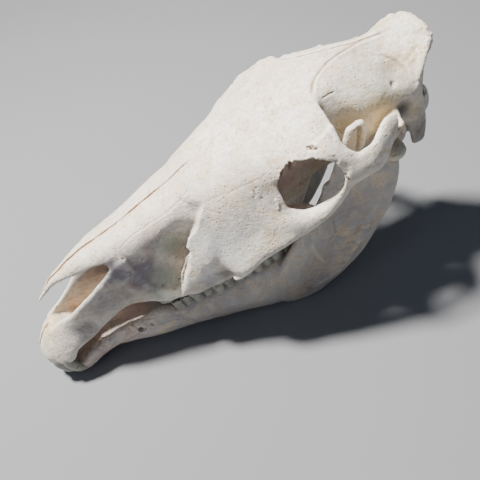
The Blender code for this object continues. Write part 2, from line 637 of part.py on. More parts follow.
def flatten_feet(jaw, stand):
    """Wear the chin and the two jaw angles flat where they meet the floor."""
    shape = bmesh.new()
    shape.from_mesh(jaw.data)
    to_skull = stand.matrix_world.inverted()
    floor = to_skull @ Vector((0.0, 0.0, 0.0))
    upwards = (to_skull.to_3x3() @ Vector((0.0, 0.0, 1.0))).normalized()
    everything = list(shape.verts) + list(shape.edges) + list(shape.faces)
    cut_result = bmesh.ops.bisect_plane(
        shape, geom=everything, plane_co=floor, plane_no=upwards, clear_inner=True, dist=1e-7
    )
    rim = [part for part in cut_result["geom_cut"] if isinstance(part, bmesh.types.BMEdge)]
    bmesh.ops.holes_fill(shape, edges=rim, sides=0)
    bmesh.ops.triangulate(shape, faces=shape.faces)
    bmesh.ops.recalc_face_normals(shape, faces=shape.faces)
    shape.to_mesh(jaw.data)
    shape.free()


def paint(things, look):
    for thing in things:
        thing.data.materials.clear()
        thing.data.materials.append(bone_material(*look))
        thing.data.shade_smooth()


def main():
    clear_scene()
    head = cranium()
    jaw = lower_jaw()
    upper = add_teeth(head, "upper", UPPER_CHEEK_TEETH, UPPER_OUTLINE, UPPER_INCISOR_RINGS, 1)
    lower = add_teeth(jaw, "lower", LOWER_CHEEK_TEETH, LOWER_OUTLINE, LOWER_INCISOR_RINGS, -1)
    paint([head], BONE)
    paint([jaw], JAW_BONE)
    paint(upper + lower, ENAMEL)
    stand = rest_on_floor([head, jaw, *upper, *lower])
    flatten_feet(jaw, stand)


main()
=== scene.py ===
"""Zebra skull: the bones, the teeth, the light and the camera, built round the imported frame.

Skull axes, in millimetres: x towards the animal's left, y back from the front of the snout, and
z up from the chewing surface of the cheek teeth. The skull stands tilted nose down by REST_TILT.
"""

import math

import bmesh
import bpy
import numpy as np
from mathutils import Matrix, Vector
from mathutils.bvhtree import BVHTree


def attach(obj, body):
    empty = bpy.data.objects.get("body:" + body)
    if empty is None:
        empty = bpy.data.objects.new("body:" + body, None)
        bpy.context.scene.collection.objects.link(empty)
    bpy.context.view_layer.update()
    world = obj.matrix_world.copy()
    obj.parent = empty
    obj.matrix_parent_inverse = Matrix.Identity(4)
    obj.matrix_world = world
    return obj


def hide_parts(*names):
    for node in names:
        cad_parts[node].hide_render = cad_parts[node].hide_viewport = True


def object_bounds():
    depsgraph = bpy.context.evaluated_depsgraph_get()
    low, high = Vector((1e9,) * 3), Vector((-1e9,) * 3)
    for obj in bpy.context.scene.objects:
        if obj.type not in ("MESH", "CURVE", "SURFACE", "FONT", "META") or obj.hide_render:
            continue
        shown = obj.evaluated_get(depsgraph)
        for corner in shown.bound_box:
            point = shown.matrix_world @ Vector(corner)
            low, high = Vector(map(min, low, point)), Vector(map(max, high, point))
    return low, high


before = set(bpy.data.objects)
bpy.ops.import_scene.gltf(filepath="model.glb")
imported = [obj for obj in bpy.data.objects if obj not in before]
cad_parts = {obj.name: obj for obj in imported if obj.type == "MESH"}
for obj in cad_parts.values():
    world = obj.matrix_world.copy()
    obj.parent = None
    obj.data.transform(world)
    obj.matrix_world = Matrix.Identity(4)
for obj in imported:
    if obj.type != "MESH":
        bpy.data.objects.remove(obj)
frame_box = [list(corner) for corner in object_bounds()]

MM = 0.001

# Where the skull stands
REST_TILT = math.radians(11.3)
FLOOR_DROP = 43.0
LENGTH_CENTRE = 229.2
STAND = (
    Matrix.Translation((0.0, -LENGTH_CENTRE * MM, FLOOR_DROP * MM))
    @ Matrix.Rotation(REST_TILT, 4, "X")
)

# How finely the bones are formed
VOXEL = 1.45
FUSE_ROUNDS = 8
CUT_ROUNDS = 4
SMOOTH_FACTOR = 0.5
SPAN_STEPS = 6
TINY = 1e-9
TINY_SPAN = 1e-6
BOTH_SIDES = (1, -1)
MIDDLE = (1,)
CRANIUM_TRIANGLES = 192000
JAW_TRIANGLES = 120000
BLOB_SEGMENTS = 48
EDGE_STEPS = 3
# A blade's rounded edge: places along it and off it, as shares of its half thickness there
BLADE_EDGE = ((-1.0, 0.0), (-0.5, 0.7), (0.4, 1.0))
BITE_GAP = 0.25
NEIGHBOUR_GAP = 0.4

# Face and forehead: half outlines from the middle of the roof, down the cheek, to the palate
FACE = [
    (128, [(0, 108.5), (10, 108), (20, 103), (26, 94), (28, 82), (28.5, 68), (28, 54), (28, 42),
           (28, 30), (28, 19), (22, 15), (12, 16), (0, 17)]),
    (150, [(0, 110.5), (11, 110), (22, 105), (28, 96), (30.5, 84), (31, 70), (31, 56), (31.5, 44),
           (39, 30), (41, 15), (21, 14), (11, 19), (0, 21)]),
    (180, [(0, 116), (13, 115.5), (25, 110), (31.5, 100), (33, 88), (32, 74), (33, 60), (37.5, 46),
           (44, 32), (51, 13), (22, 14), (12, 21), (0, 23)]),
    (210, [(0, 122.5), (15, 121.5), (30, 115), (37, 105), (38, 92), (37, 78), (38, 64), (43, 48),
           (49, 34), (56, 13), (23, 14), (13, 22), (0, 25)]),
    (240, [(0, 130), (18, 129), (35, 121.5), (45, 111), (54, 95), (66, 68), (78, 35), (66, 29),
           (57, 22), (55.5, 10), (25, 13), (14, 22), (0, 25)]),
    (270, [(0, 137), (20, 136), (40, 129), (52, 118), (62, 100), (73, 75), (84.5, 46), (72, 40),
           (58, 26), (55, 8), (27, 13), (14, 22), (0, 25)]),
    (296, [(0, 142.5), (22, 141.5), (45, 135), (58, 124), (67, 106), (78, 82), (90, 54.5),
           (76, 48), (57, 34), (49, 17), (30, 17), (14, 24), (0, 27)]),
    (312, [(0, 145), (24, 144), (50, 138), (64, 127), (70, 112), (80, 88), (92, 60), (80, 55),
           (60, 45), (46, 32), (30, 26), (14, 30), (0, 32)]),
]

# Inner skull from between the orbits to the nuchal crest
CORE = [
    (300, [(0, 143), (20, 142), (36, 138), (42, 125), (42, 100), (41, 80), (38, 62), (30, 50),
           (15, 46), (0, 45)]),
    (330, [(0, 149), (20, 148), (34, 143), (38, 125), (37, 100), (36, 80), (33, 64), (26, 52),
           (13, 46), (0, 45)]),
    (355, [(0, 155), (20, 154), (34, 149), (37, 128), (36, 104), (35, 84), (32, 66), (25, 54),
           (12, 47), (0, 46)]),
    (380, [(0, 158.5), (22, 158), (38, 154), (45, 138), (47, 118), (46, 98), (42, 78), (32, 62),
           (15, 53), (0, 51)]),
    (405, [(0, 158.5), (13, 158.5), (25, 155), (41, 141), (50, 122), (52, 103), (49, 84), (40, 66),
           (20, 55), (0, 52)]),
    (430, [(0, 155), (6, 155.5), (14, 152), (34, 139), (48, 121), (53, 103), (51, 84), (41, 66),
           (20, 54), (0, 50)]),
    (455, [(0, 149), (5, 149.5), (11, 146), (29, 136), (45, 120), (51, 102), (49, 86), (40, 68),
           (20, 55), (0, 50)]),
    (472, [(0, 147), (6, 147.5), (14, 144), (30, 134), (43, 120), (48, 102), (44, 84), (36, 68),
           (18, 57), (0, 54)]),
    (484, [(0, 147), (8, 147), (16, 144), (28, 136), (35, 126), (37, 113), (33, 102), (24, 95),
           (12, 92), (0, 91)]),
    (494, [(0, 146), (9, 146), (18, 143), (27, 136), (31, 130), (30, 123), (25, 118), (16, 115),
           (8, 113), (0, 112)]),
    (502, [(0, 144.5), (10, 144.5), (19, 142), (26, 137), (28, 133), (26, 129), (20, 127),
           (13, 126), (6, 125.5), (0, 125.5)]),
    (506, [(0, 141), (8, 141), (15, 139.5), (20, 137), (22, 135), (20, 132.5), (15, 131.5),
           (10, 131), (5, 130.5), (0, 130.5)]),
]

# Roof plate over the orbits: its top from the middle to the rim, then its underside back
BROW = [
    (300, [(0, 142), (28, 140), (46, 134), (58, 124), (64, 116), (60, 112), (42, 118), (24, 122),
           (0, 122)]),
    (318, [(0, 147), (28, 145), (48, 139), (63, 129), (71, 119), (69, 113), (50, 124), (28, 130),
           (0, 130)]),
    (340, [(0, 151.5), (28, 149), (50, 144), (68, 137), (79, 131), (77, 125), (58, 129),
           (30, 138), (0, 138)]),
    (355, [(0, 155), (28, 153), (50, 149), (70, 141), (86, 127), (83, 121), (62, 132), (32, 141),
           (0, 142)]),
    (369, [(0, 157), (28, 156.2), (47, 152.5), (66, 144), (82, 130), (80, 125), (60, 136),
           (32, 146), (0, 146)]),
    (378, [(0, 158), (25, 157.5), (41, 154.5), (54, 149), (66, 139), (64, 134), (50, 142),
           (28, 150), (0, 150)]),
]

# Front of the upper jaw, which carries the incisors
SNOUT = [
    (-13.5, [(0, -1), (4, -1.5), (8, -4), (9.5, -7), (8, -11), (4, -12), (0, -12)]),
    (-10, [(0, 8), (5, 7), (10, 3), (15, -5), (14, -11), (6, -12), (0, -12)]),
    (-4, [(0, 16), (7, 14.5), (13, 10), (20, 1), (20.5, -10), (8, -11.5), (0, -9)]),
    (4, [(0, 23), (7, 22.5), (16, 17), (25, 6), (27.5, -9), (14, -10), (0, -7)]),
    (12, [(0, 30), (7, 30), (15, 25.5), (27, 12), (31, -8), (17, -7), (0, -3)]),
    (22, [(0, 33), (7, 34), (15, 29), (27, 14), (31.5, -8), (19, -4), (0, 3)]),
    (34, [(0, 24), (8, 28), (14, 34), (24, 20), (27, 3), (17, 4), (0, 7)]),
    (46, [(0, 14), (8, 15), (13, 18), (18, 16), (20, 8), (12, 6), (0, 8)]),
]

# Nasal bones, which end in a free point over the nose opening
NASALS = [
    (33.5, [(0, 71.2), (1.2, 70.8), (1.7, 69.7), (1.5, 68.6), (1.1, 68), (0.6, 67.8), (0, 67.8)]),
    (50, [(0, 82.5), (2.8, 82), (4, 80), (3.6, 77.6), (2.4, 76.8), (1.2, 76.6), (0, 76.6)]),
    (64, [(0, 91.5), (4.4, 90.8), (6.6, 88), (6.2, 85), (4.4, 84), (2, 84), (0, 84.4)]),
    (80, [(0, 96.5), (6, 95.8), (10, 92.6), (10.6, 89.4), (7.6, 87.6), (4, 88.6), (0, 89.6)]),
    (95, [(0, 102), (8, 101), (13.6, 96), (15.2, 90), (11.6, 88.6), (6, 93), (0, 95)]),
    (110, [(0, 106), (9, 105), (17, 100), (19.6, 94), (15.6, 92), (8, 97), (0, 99)]),
    (128, [(0, 108.5), (10, 107.6), (21, 102), (25.6, 94), (20.6, 92), (11, 99), (0, 101.5)]),
    (146, [(0, 110), (11, 109.4), (22, 104.6), (28, 95), (22, 90), (11, 100), (0, 103)]),
]

# Nose passage, cut out of the face
NOSE_PASSAGE = [
    (104, [(0, 97), (10, 96), (18, 91), (20, 76), (20, 58), (18, 38), (11, 26), (0, 22)]),
    (130, [(0, 101), (11, 99), (20, 91), (23, 78), (24, 60), (21, 42), (12, 29), (0, 25)]),
    (160, [(0, 104), (13, 102), (21, 94), (23.5, 80), (24.5, 62), (22, 46), (12, 33), (0, 29)]),
    (200, [(0, 110), (14, 108), (24, 99), (26.5, 84), (26, 68), (23, 52), (13, 36), (0, 32)]),
    (245, [(0, 112), (15, 110), (28, 100), (32, 84), (30, 68), (24, 52), (13, 37), (0, 33)]),
    (280, [(0, 88), (12, 86), (21, 80), (24, 68), (23, 54), (20, 42), (12, 34), (0, 31)]),
    (300, [(0, 64), (10, 63), (17, 60), (19, 54), (19, 44), (18, 34), (12, 28), (0, 26)]),
]
CHOANA = [
    (286, [(0, 62), (10, 61), (17, 56), (18.5, 44), (18.5, 28), (18, 14), (10, 8), (0, 6)]),
    (310, [(0, 56), (10, 55), (16, 51), (18, 40), (18, 20), (18, 4), (10, -4), (0, -6)]),
    (345, [(0, 43), (9, 42), (15, 38), (17, 30), (17, 16), (17, 2), (10, -4), (0, -6)]),
]
BRAIN_HOLE = [
    (400, [(0, 126), (8, 124), (16, 116), (20, 106), (18, 92), (13, 82), (7, 78), (0, 77)]),
    (430, [(0, 128), (9, 126), (18, 118), (22, 106), (21, 90), (15, 76), (8, 71), (0, 70)]),
    (462, [(0, 112), (8, 110), (16, 104), (20, 94), (20, 82), (16, 70), (8, 64), (0, 62)]),
    (478, [(0, 90), (8, 89), (14, 84), (17, 77), (16, 70), (13, 63), (7, 59), (0, 58)]),
    (505, [(0, 90), (8, 89), (15, 84), (18, 77), (17, 69), (14, 62), (7, 57), (0, 56)]),
]

# Chin of the lower jaw, where its two halves are grown together
CHIN = [
    (-4, [(0, -33), (8, -33), (16, -33), (21, -37), (17, -41), (9, -42), (0, -42)]),
    (8, [(0, -31), (9, -30), (19, -27), (27, -32), (24, -43), (12, -47), (0, -47.5)]),
    (22, [(0, -33), (9, -31), (18, -24), (27, -27), (26, -42), (13, -49.5), (0, -50)]),
    (41, [(0, -34), (8, -32), (15, -21), (23, -20), (25, -35), (15, -46), (0, -48)]),
    (65, [(0, -34), (7, -32), (14, -19), (22, -17), (25, -30), (16, -43), (0, -46)]),
    (84, [(0, -36), (7, -34), (14, -19), (23, -13.5), (26, -28), (18, -44), (0, -46)]),
    (96, [(0, -37), (7, -35), (14, -27), (22, -18), (26, -28), (19, -45), (0, -47)]),
    (112, [(0, -38), (8, -36), (16, -29), (23, -19), (27, -30), (20, -47), (0, -48)]),
    (126, [(0, -41), (8, -39), (16, -33), (24, -24), (28, -33), (21, -49), (0, -49)]),
    (134, [(0, -46), (8, -45), (16, -42), (24, -34), (29, -38), (22, -50), (0, -50)]),
]

# Blades: edge one, edge two, then half the thickness at edge one, halfway and at edge two
PREMAXILLA = [
    ((29, 22, 0), (11, 20, 31), (4, 6, 4)),
    ((27, 36, 6), (13, 36, 38), (4, 5, 3)),
    ((22, 53, 5), (19, 55, 45), (5, 4, 3)),
    ((20, 75, 13), (23.5, 75, 56), (5, 4, 3)),
    ((20.5, 95, 19), (25.5, 95, 65), (5, 4, 3)),
    ((23, 117, 23.5), (26.5, 116, 76), (5, 4, 3)),
    ((27, 135, 18), (26.5, 133, 86), (5, 4, 3.5)),
    ((29, 150, 18), (28, 148, 92), (5, 4, 4)),
]
PALATE_SHELF = [
    ((13, 20, 4), (25, 20, 3), (4, 4, 4)),
    ((11, 45, 8), (22, 45, 8), (3.5, 4, 4)),
    ((10.5, 70, 15), (20, 70, 15), (3, 3.5, 4)),
    ((10.5, 95, 20), (20, 95, 20), (3, 3.5, 4)),
    ((6, 118, 21), (22, 118, 24), (3, 3.5, 4)),
    ((4, 140, 19), (24, 140, 21), (3, 3.5, 4)),
]
VOMER = [
    ((0, 16, 3), (0, 16, 14), (4, 4.5, 3)),
    ((0, 60, 11), (0, 60, 24), (4.5, 4, 3)),
    ((0, 110, 20), (0, 110, 34), (4.5, 3.5, 3)),
    ((0, 160, 22), (0, 160, 44), (4, 3.5, 3)),
    ((0, 250, 28), (0, 250, 56), (4, 3.5, 3)),
    ((0, 315, 40), (0, 315, 60), (3.5, 3.5, 3)),
]
CHEEK_PLATE = [
    ((52, 172, 19), (50, 173, 25), (3, 3, 2)),
    ((53, 182, 19), (49, 182, 43), (3, 5, 2)),
    ((54, 195, 20), (47, 195, 59), (4, 6, 2)),
    ((56, 209, 21), (44, 209, 78), (4, 9, 2)),
    ((58, 226, 24), (44, 226, 96), (5, 12, 2)),
    ((60, 240, 28), (43, 240, 109), (5, 11, 2)),
    ((61, 252, 30), (43, 252, 114), (4, 8, 2)),
]
FACIAL_CREST = [
    ((64, 233, 32), (74, 230, 28), (1.5, 1.6, 0.9)),
    ((64, 241, 36), (78, 238, 31), (3.6, 3.6, 1.5)),
    ((66, 251, 42), (79.5, 250, 37.5), (5.5, 5, 2.8)),
    ((68, 266, 50), (81, 266, 47), (7, 6, 4)),
    ((72, 288, 58), (85, 288, 55), (8, 7, 4)),
]
ARCH = [
    ((76, 276, 52), (60, 276, 84), (3, 4, 3)),
    ((84, 292, 55), (68, 292, 90), (4, 6, 4)),
    ((88, 308, 60), (75, 308, 86), (4.5, 7, 4)),
    ((92, 330, 67), (83, 327, 76), (4.5, 6, 4)),
    ((93, 347, 75), (88, 345, 79), (4.5, 5.5, 4)),
    ((94, 362, 87), (90, 358, 91), (4.5, 5.5, 4)),
    ((95, 372, 95), (91, 372, 114), (4, 5, 3.5)),
    ((95, 387, 97), (90, 387, 116), (4, 5, 3.5)),
    ((93, 400, 95), (88, 402, 117), (4, 5, 3.5)),
    ((89, 410, 97), (83, 412, 122), (4, 5, 3.5)),
    ((85, 419, 106), (78, 421, 125), (3.5, 4.5, 3)),
    ((77, 430, 111), (71, 434, 120), (3, 4, 2)),
]
ARCH_ROOT = [
    ((88, 404, 104), (85, 416, 104), (3, 4, 3)),
    ((80, 411, 103), (78, 429, 103), (3, 4, 3.5)),
    ((68, 422, 100), (67, 437, 101), (3, 4, 4)),
    ((52, 426, 97), (50, 445, 99), (4, 6, 5)),
]
POST_GLENOID = [
    ((58, 437, 104), (72, 437, 106), (3.5, 4, 3)),
    ((60, 439, 94), (70, 439, 96), (3, 3.5, 3)),
    ((62, 439, 87), (68, 439, 88), (2.5, 3, 2.5)),
]
EYE_BAR = [
    ((72, 352, 136), (68, 374, 142), (5, 6, 5)),
    ((83, 357, 129), (80, 374, 132), (4, 5.5, 4)),
    ((87, 362, 120), (86, 378, 124), (3.5, 5.5, 3.5)),
    ((90.5, 368, 111), (89.5, 385, 115), (3.5, 5, 3.5)),
    ((92, 371, 102), (92, 388, 104), (3.5, 5, 3.5)),
]
PTERYGOID = [
    ((20, 284, 22), (24, 284, 60), (3, 4, 4)),
    ((20.5, 300, 12), (25, 300, 58), (3, 4, 5)),
    ((21, 318, 8), (26, 318, 56), (3, 4, 5)),
    ((21, 332, 20), (25, 336, 54), (3, 4, 5)),
    ((20, 345, 38), (23, 352, 54), (3, 4, 5)),
]
SIDE_CREST = [
    ((27, 497, 136), (20, 486, 133), (4, 5, 5)),
    ((37, 486, 129), (29, 477, 124), (3.5, 5, 5)),
    ((44.5, 474, 117), (36, 466, 112), (3.5, 5, 5)),
    ((47, 467, 103), (39, 459, 100), (3.5, 5, 5)),
    ((47, 464, 90), (39, 457, 88), (3.5, 5, 5)),
]
NECK_PROCESS = [
    ((45, 456, 92), (38, 476, 90), (5, 7, 5)),
    ((45, 459, 76), (40, 476, 74), (4, 5.5, 4)),
    ((44, 461, 56), (41, 475, 55), (3.5, 4.5, 3.5)),
    ((43, 462, 38), (41.5, 472, 37), (3, 3.5, 3)),
]

# One half of the lower jaw
JAW_BODY = [
    ((19, 70, -40), (20, 70, -21), (3, 5, 4)),
    ((21.5, 92, -43), (21, 92, -18), (5.5, 7, 5)),
    ((24, 112, -49), (25, 112, -18), (7, 9, 6)),
    ((26, 132, -53), (28, 132, -14), (7.5, 10, 7)),
    ((28, 155, -58), (30, 155, -23), (8, 10.5, 9.5)),
    ((32, 185, -65), (34, 185, -24.5), (8, 11.5, 10.5)),
    ((36, 211, -73), (37, 211, -24.5), (8, 12, 10.5)),
    ((40, 240, -82), (39.5, 240, -24.5), (8, 12, 10)),
    ((44, 262, -87), (42, 262, -24), (8, 11, 9.5)),
    ((47, 285, -88), (44, 285, -23), (8, 10, 9)),
    ((50, 312, -80), (50, 312, -20), (8, 8, 8)),
    ((52, 330, -60), (54, 330, -16), (6, 6, 6)),
]
RAMUS = [
    ((50, 282, -101), (51, 308, -102.5), (4, 6, 4)),
    ((49, 268, -94), (52, 324, -93), (5, 7, 6)),
    ((48, 262, -80), (54, 341, -80), (6, 6, 7)),
    ((50, 268, -58), (57, 369, -58), (6, 5, 7)),
    ((52, 278, -30), (59, 391, -32), (6, 4.5, 6.5)),
    ((55, 296, -6), (62, 406, -8), (6, 4.5, 6)),
    ((58, 318, 19), (66, 415.5, 18), (5, 4.5, 6)),
    ((62, 337, 44), (70, 421, 42), (4.5, 4.5, 5.5)),
    ((65, 349, 64), (73, 423, 62), (4, 4.5, 5.5)),
    ((66, 356, 78), (72, 421, 76), (4, 4.5, 5.5)),
]
CORONOID = [
    ((67, 354, 66), (68, 398, 66), (4, 4.5, 4)),
    ((68, 363, 84), (69, 394, 84), (3.5, 4, 3.5)),
    ((69, 372, 99), (69.5, 394, 99), (3.5, 3.5, 3.5)),
    ((69.5, 380, 112), (69, 400, 112), (3.5, 3.5, 3.5)),
    ((69, 386, 122), (68, 404, 122), (3.5, 3.5, 3.5)),
    ((68, 391, 130), (67, 402, 130), (3.5, 3.5, 3.5)),
]
JAW_CONDYLE = [
    ((59, 416, 89), (59, 422, 89), (3.5, 4, 3.5)),
    ((65, 413, 90), (65, 425, 90), (6, 7, 6)),
    ((76, 413, 90), (77, 426, 90), (6.5, 7.5, 6.5)),
    ((86, 416, 88), (87, 425, 88), (6, 6.5, 6)),
    ((91, 419, 87), (91, 423, 87), (3, 3, 3)),
]
JAW_NECK = [
    ((70, 405, 66), (73, 423, 64), (5, 6, 5)),
    ((70, 409, 80), (72, 425, 80), (7, 9, 7)),
    ((71, 412, 88), (72, 425, 88), (9, 12, 9)),
]

# Blobs: centre, radii, and turn about the x and z axes in degrees
CONDYLES = ((23, 481, 71), (12, 12, 18), (-18, 24))
TOOTH_BULGE = ((44, 298, 40), (13, 13, 24), (0, 0))
EYE_FLOOR = ((70, 314, 58), (18, 27, 12), (0, -16))
EAR_BONES = ((37, 444, 60), (11, 13, 14), (0, 0))
ORBIT = ((72, 343, 106), (35, 30.5, 27.5), (8, 0))

# Cheek teeth: name, front, length, middle of its width, width, front and rear width factors
UPPER_CHEEK_TEETH = [
    ("premolar_2", 144, 32, 31, 17, 0.5, 1.0),
    ("premolar_3", 176, 27, 37, 23, 0.86, 1.0),
    ("premolar_4", 203, 26, 40.5, 24, 1.0, 1.0),
    ("molar_1", 229, 23, 42, 23.5, 1.0, 1.0),
    ("molar_2", 252, 23, 41, 23, 1.0, 0.96),
    ("molar_3", 275, 24, 38.5, 21, 1.0, 0.62),
]
LOWER_CHEEK_TEETH = [
    ("premolar_2", 152, 23, 31.5, 13, 0.7, 1.0),
    ("premolar_3", 175, 26, 33, 14.5, 1.0, 1.0),
    ("premolar_4", 201, 26, 36.5, 15, 1.0, 1.0),
    ("molar_1", 227, 24, 38.5, 13.5, 1.0, 1.0),
    ("molar_2", 251, 25, 40, 13, 1.0, 0.95),
    ("molar_3", 276, 29, 41.5, 12, 1.0, 0.6),
]
# Outlines of a cheek tooth from above, as fractions of its length and width
UPPER_OUTLINE = [
    (-0.5, -0.28), (-0.34, -0.46), (-0.04, -0.5), (0.3, -0.46), (0.5, -0.28), (0.5, 0.34),
    (0.42, 0.48), (0.22, 0.4), (0.04, 0.5), (-0.04, 0.5), (-0.22, 0.4), (-0.42, 0.5), (-0.5, 0.34),
]
LOWER_OUTLINE = [
    (-0.5, -0.26), (-0.36, -0.47), (-0.06, -0.4), (0.3, -0.47), (0.5, -0.28), (0.5, 0.3),
    (0.34, 0.5), (0.1, 0.48), (0.02, 0.3), (-0.08, 0.48), (-0.36, 0.5), (-0.5, 0.28),
]
CUSP_HEIGHT = 3.6
CUSPS = 2
CHEEK_CROWN = 18.0
CHEEK_ROOT = 34.0

# Incisors: name, angle round the arcade in degrees, width
INCISORS = [("incisor_1", 17, 15.6), ("incisor_2", 49.5, 14.6), ("incisor_3", 80, 12.8)]
ARCADE_HALF_WIDTH = 28.5
ARCADE_DEPTH = 25.0
ARCADE_CENTRE = 16.0
INCISOR_THICKNESS = 10.6
INCISOR_BITE = -21.0
INCISOR_SIDES = 28
INCISOR_LEAN = 0.7
# Height over the bite, how far the tooth lies back there, and its size there
UPPER_INCISOR_RINGS = [(0, 0, 1.0), (10, -0.4, 1.0), (22, 2.8, 0.92), (36, 10, 0.66)]
LOWER_INCISOR_RINGS = [(0, 0, 0.96), (-7, 0.6, 0.94), (-14, 3.5, 0.84), (-20, 8.5, 0.55)]
# Rings of a cheek tooth from its hollow outwards and down: depth below the bite, size there
TOOTH_LEVELS = [(1.2, 0.8), (BITE_GAP, 0.96), (1.2, 1.0), (CHEEK_CROWN, 1.0), (CHEEK_ROOT, 0.8)]
OUTLINE_STEPS = 5
INCISOR_STEPS = 4

# The photograph's camera, in skull axes
CAMERA_PLACE = (393.23, 278.64, 455.03)
CAMERA_RIGHT = (0.35820, 0.86481, -0.35185)
CAMERA_DOWN = (0.67301, -0.50037, -0.54469)
CAMERA_FORWARD = (-0.64711, -0.04169, -0.76126)
CAMERA_LENS = 39.0
CAMERA_SENSOR = 36.0
CAMERA_REACH = 20.0

# Floor, backdrop and light, in metres and watts
FLOOR_COLOUR = (0.205, 0.21, 0.222)
FLOOR_ROUGHNESS = 0.9
SKY_COLOUR = (0.66, 0.79, 1.0)
SKY_STRENGTH = 0.17
BACKDROP_COLOUR = (0.60, 0.605, 0.615)
FLOOR_SIZE = 30.0
FLOOR_GAP = 0.0005
FLOOR_FADE_START = 0.5
FLOOR_FADE_END = 2.4
# Lamps: name, place, size, power, colour
LIGHTS = [
    ("key", (-0.40, -0.58, 2.10), 0.30, 190.0, (1.0, 0.965, 0.91)),
    ("fill", (0.8, -2.2, 1.5), 1.2, 6.0, (0.92, 0.95, 1.0)),
]
LIGHT_TARGET = (0.0, 0.0, 0.1)

# Smoothing where forms meet: centre, reach, rounds
MELTS = [
    ((50, 315, 138), 34, 40),
    ((20, 365, 158), 34, 30),
    ((74, 296, 82), 26, 40),
    ((84, 286, 62), 16, 20),
    ((20, 148, 108), 26, 25),
    ((28, 140, 60), 26, 20),
    ((66, 412, 112), 20, 14),
    ((46, 470, 100), 16, 10),
    ((64, 240, 58), 26, 60),
    ((60, 222, 50), 20, 40),
]
# Smoothing of the finished cheek plate's edge
LAST_MELTS = [((52, 183, 30), 24, 34), ((50, 200, 60), 18, 12)]
# Nudges: centre, reach, move; the last value is 0 for both sides, 1 for left and -1 for right
NUDGES = [
    ((81, 417, 122), 26, (-3, 0, -12), -1),
    ((84, 372, 130), 30, (-9, 0, -12), -1),
    ((70, 316, 120), 38, (6, -1, 2), -1),
    ((43, 424, 127), 30, (3, 0, 2.5), 0),
    ((34, 458, 130), 20, (-2.5, 0, -2.5), 0),
    ((52, 396, 112), 24, (-4, 0, 0), 0),
    ((27, 486, 118), 14, (0, -2, 0), 0),
    ((50, 452, 98), 14, (-5, 0, 0), 0),
    ((60, 232, 26), 16, (-3, 0, 0), 0),
]

# Lines on the cranium, on both sides: path, groove depth, half width, ridge beside it, darkness
CREASES = [
    ([(2.6, 484, 147), (0.5, 458, 149), (2, 439, 152), (6, 420, 157), (11, 406, 158),
      (18, 393, 158), (26, 383, 157), (37, 377, 155)], 1.7, 1.7, 1.0, 0.5),
    ([(37, 340, 128), (37, 338, 110), (38, 334, 88)], 2.0, 2.2, 1.4, 0.7),
    ([(40, 328, 124), (40, 326, 106), (42, 322, 86)], 1.4, 2.0, 1.0, 0.5),
    ([(37, 377, 155), (52, 372, 151), (66, 370, 144), (80, 370, 130)], 0.5, 3.0, 0.4, 0.0),
    ([(40, 384, 150.5), (39, 391, 149), (38, 397, 148)], 0.7, 0.9, 0.0, 0.6),
    ([(15.7, 444, 147), (22, 456.5, 140), (35.7, 465, 130), (42.8, 467, 121)],
     0.6, 1.4, 0.4, 0.12),
    ([(72.5, 349, 138.6), (75, 352, 138.2), (79, 356.4, 137.4)], 3.4, 1.2, 0.6, 1.0),
    ([(71.9, 306.5, 102.8), (74, 305.5, 97), (76.3, 303.7, 91.3)], -1.3, 1.4, 0.0, 0.0),
    ([(93.3, 368.4, 110.6), (95, 369, 106), (97.2, 370.3, 101.8)], 0.8, 0.8, 0.5, 0.7),
    ([(43.7, 241, 113), (48, 246, 110), (52, 252, 106), (55.7, 258, 103)], 0.25, 0.8, 0.0, 0.12),
    ([(62, 318, 127), (58, 300, 122), (52, 288, 119), (50, 268, 118), (42, 246, 118)],
     0.18, 0.7, 0.0, 0.08),
    ([(20, 250, 130), (27, 238, 125), (30, 215, 118), (27, 190, 113), (24, 168, 108),
      (25, 148, 101)], 0.3, 0.9, 0.2, 0.12),
    ([(0, 322, 148), (8, 320, 147), (16, 318, 146), (26, 300, 140), (30, 276, 134),
      (20, 250, 130)], 0.2, 0.7, 0.0, 0.06),
    ([(30, 150, 84), (33, 138, 60), (31, 142, 40), (29, 146, 24)], 0.2, 0.7, 0.0, 0.12),
    ([(79, 303, 84), (80, 292, 72), (80, 280, 58), (76, 268, 52)], 0.15, 0.7, 0.0, 0.08),
    ([(96, 372, 100), (97, 384, 104), (95, 396, 103), (93, 404, 98)], 0.3, 0.8, 0.0, 0.15),
    ([(0, 484, 146), (12, 478, 143), (24, 470, 137), (36, 458, 128), (45, 446, 116),
      (50, 430, 104)], 0.2, 0.7, 0.0, 0.06),
]
# Small holes on both sides: centre, reach, depth
PITS = [
    ((42.4, 451, 124.6), 2.6, 2.2),
    ((43.5, 447, 121), 1.8, 1.3),
    ((63, 289, 110), 1.2, 0.8),
    ((61.5, 295, 116.6), 1.3, 0.8),
    ((67.3, 295.8, 105.5), 1.3, 1.0),
    ((28.6, 147, 92), 1.4, 0.9),
    ((46, 198, 76), 5.0, 6.0),
    ((75, 353, 138.2), 1.6, 2.4),
    ((31, 486, 84), 3.2, 4.0),
    ((20, 268, 133), 1.2, 0.9),
    ((33, 236, 121), 1.4, 0.9),
]
# Lines along the middle of the roof and the palate
MIDLINES = [
    ([(0, 40, 76), (0, 64, 92), (0, 95, 102), (0, 128, 108), (0, 160, 112), (0, 200, 120),
      (0, 240, 130), (0, 256, 134)], 1.0, 1.2, 0.25, 1.3),
    ([(0, 256, 134), (0, 290, 141), (0, 330, 149), (0, 365, 156), (0, 395, 158)],
     0.3, 0.8, 0.0, 0.12),
    ([(0, -13, 0), (0, -8, 10), (0, 2, 21), (0, 12, 30), (0, 22, 33)], 1.4, 1.6, 0.3, 0.9),
    ([(0, 200, 24), (0, 240, 25), (0, 280, 26)], 0.4, 1.0, 0.2, 0.3),
]
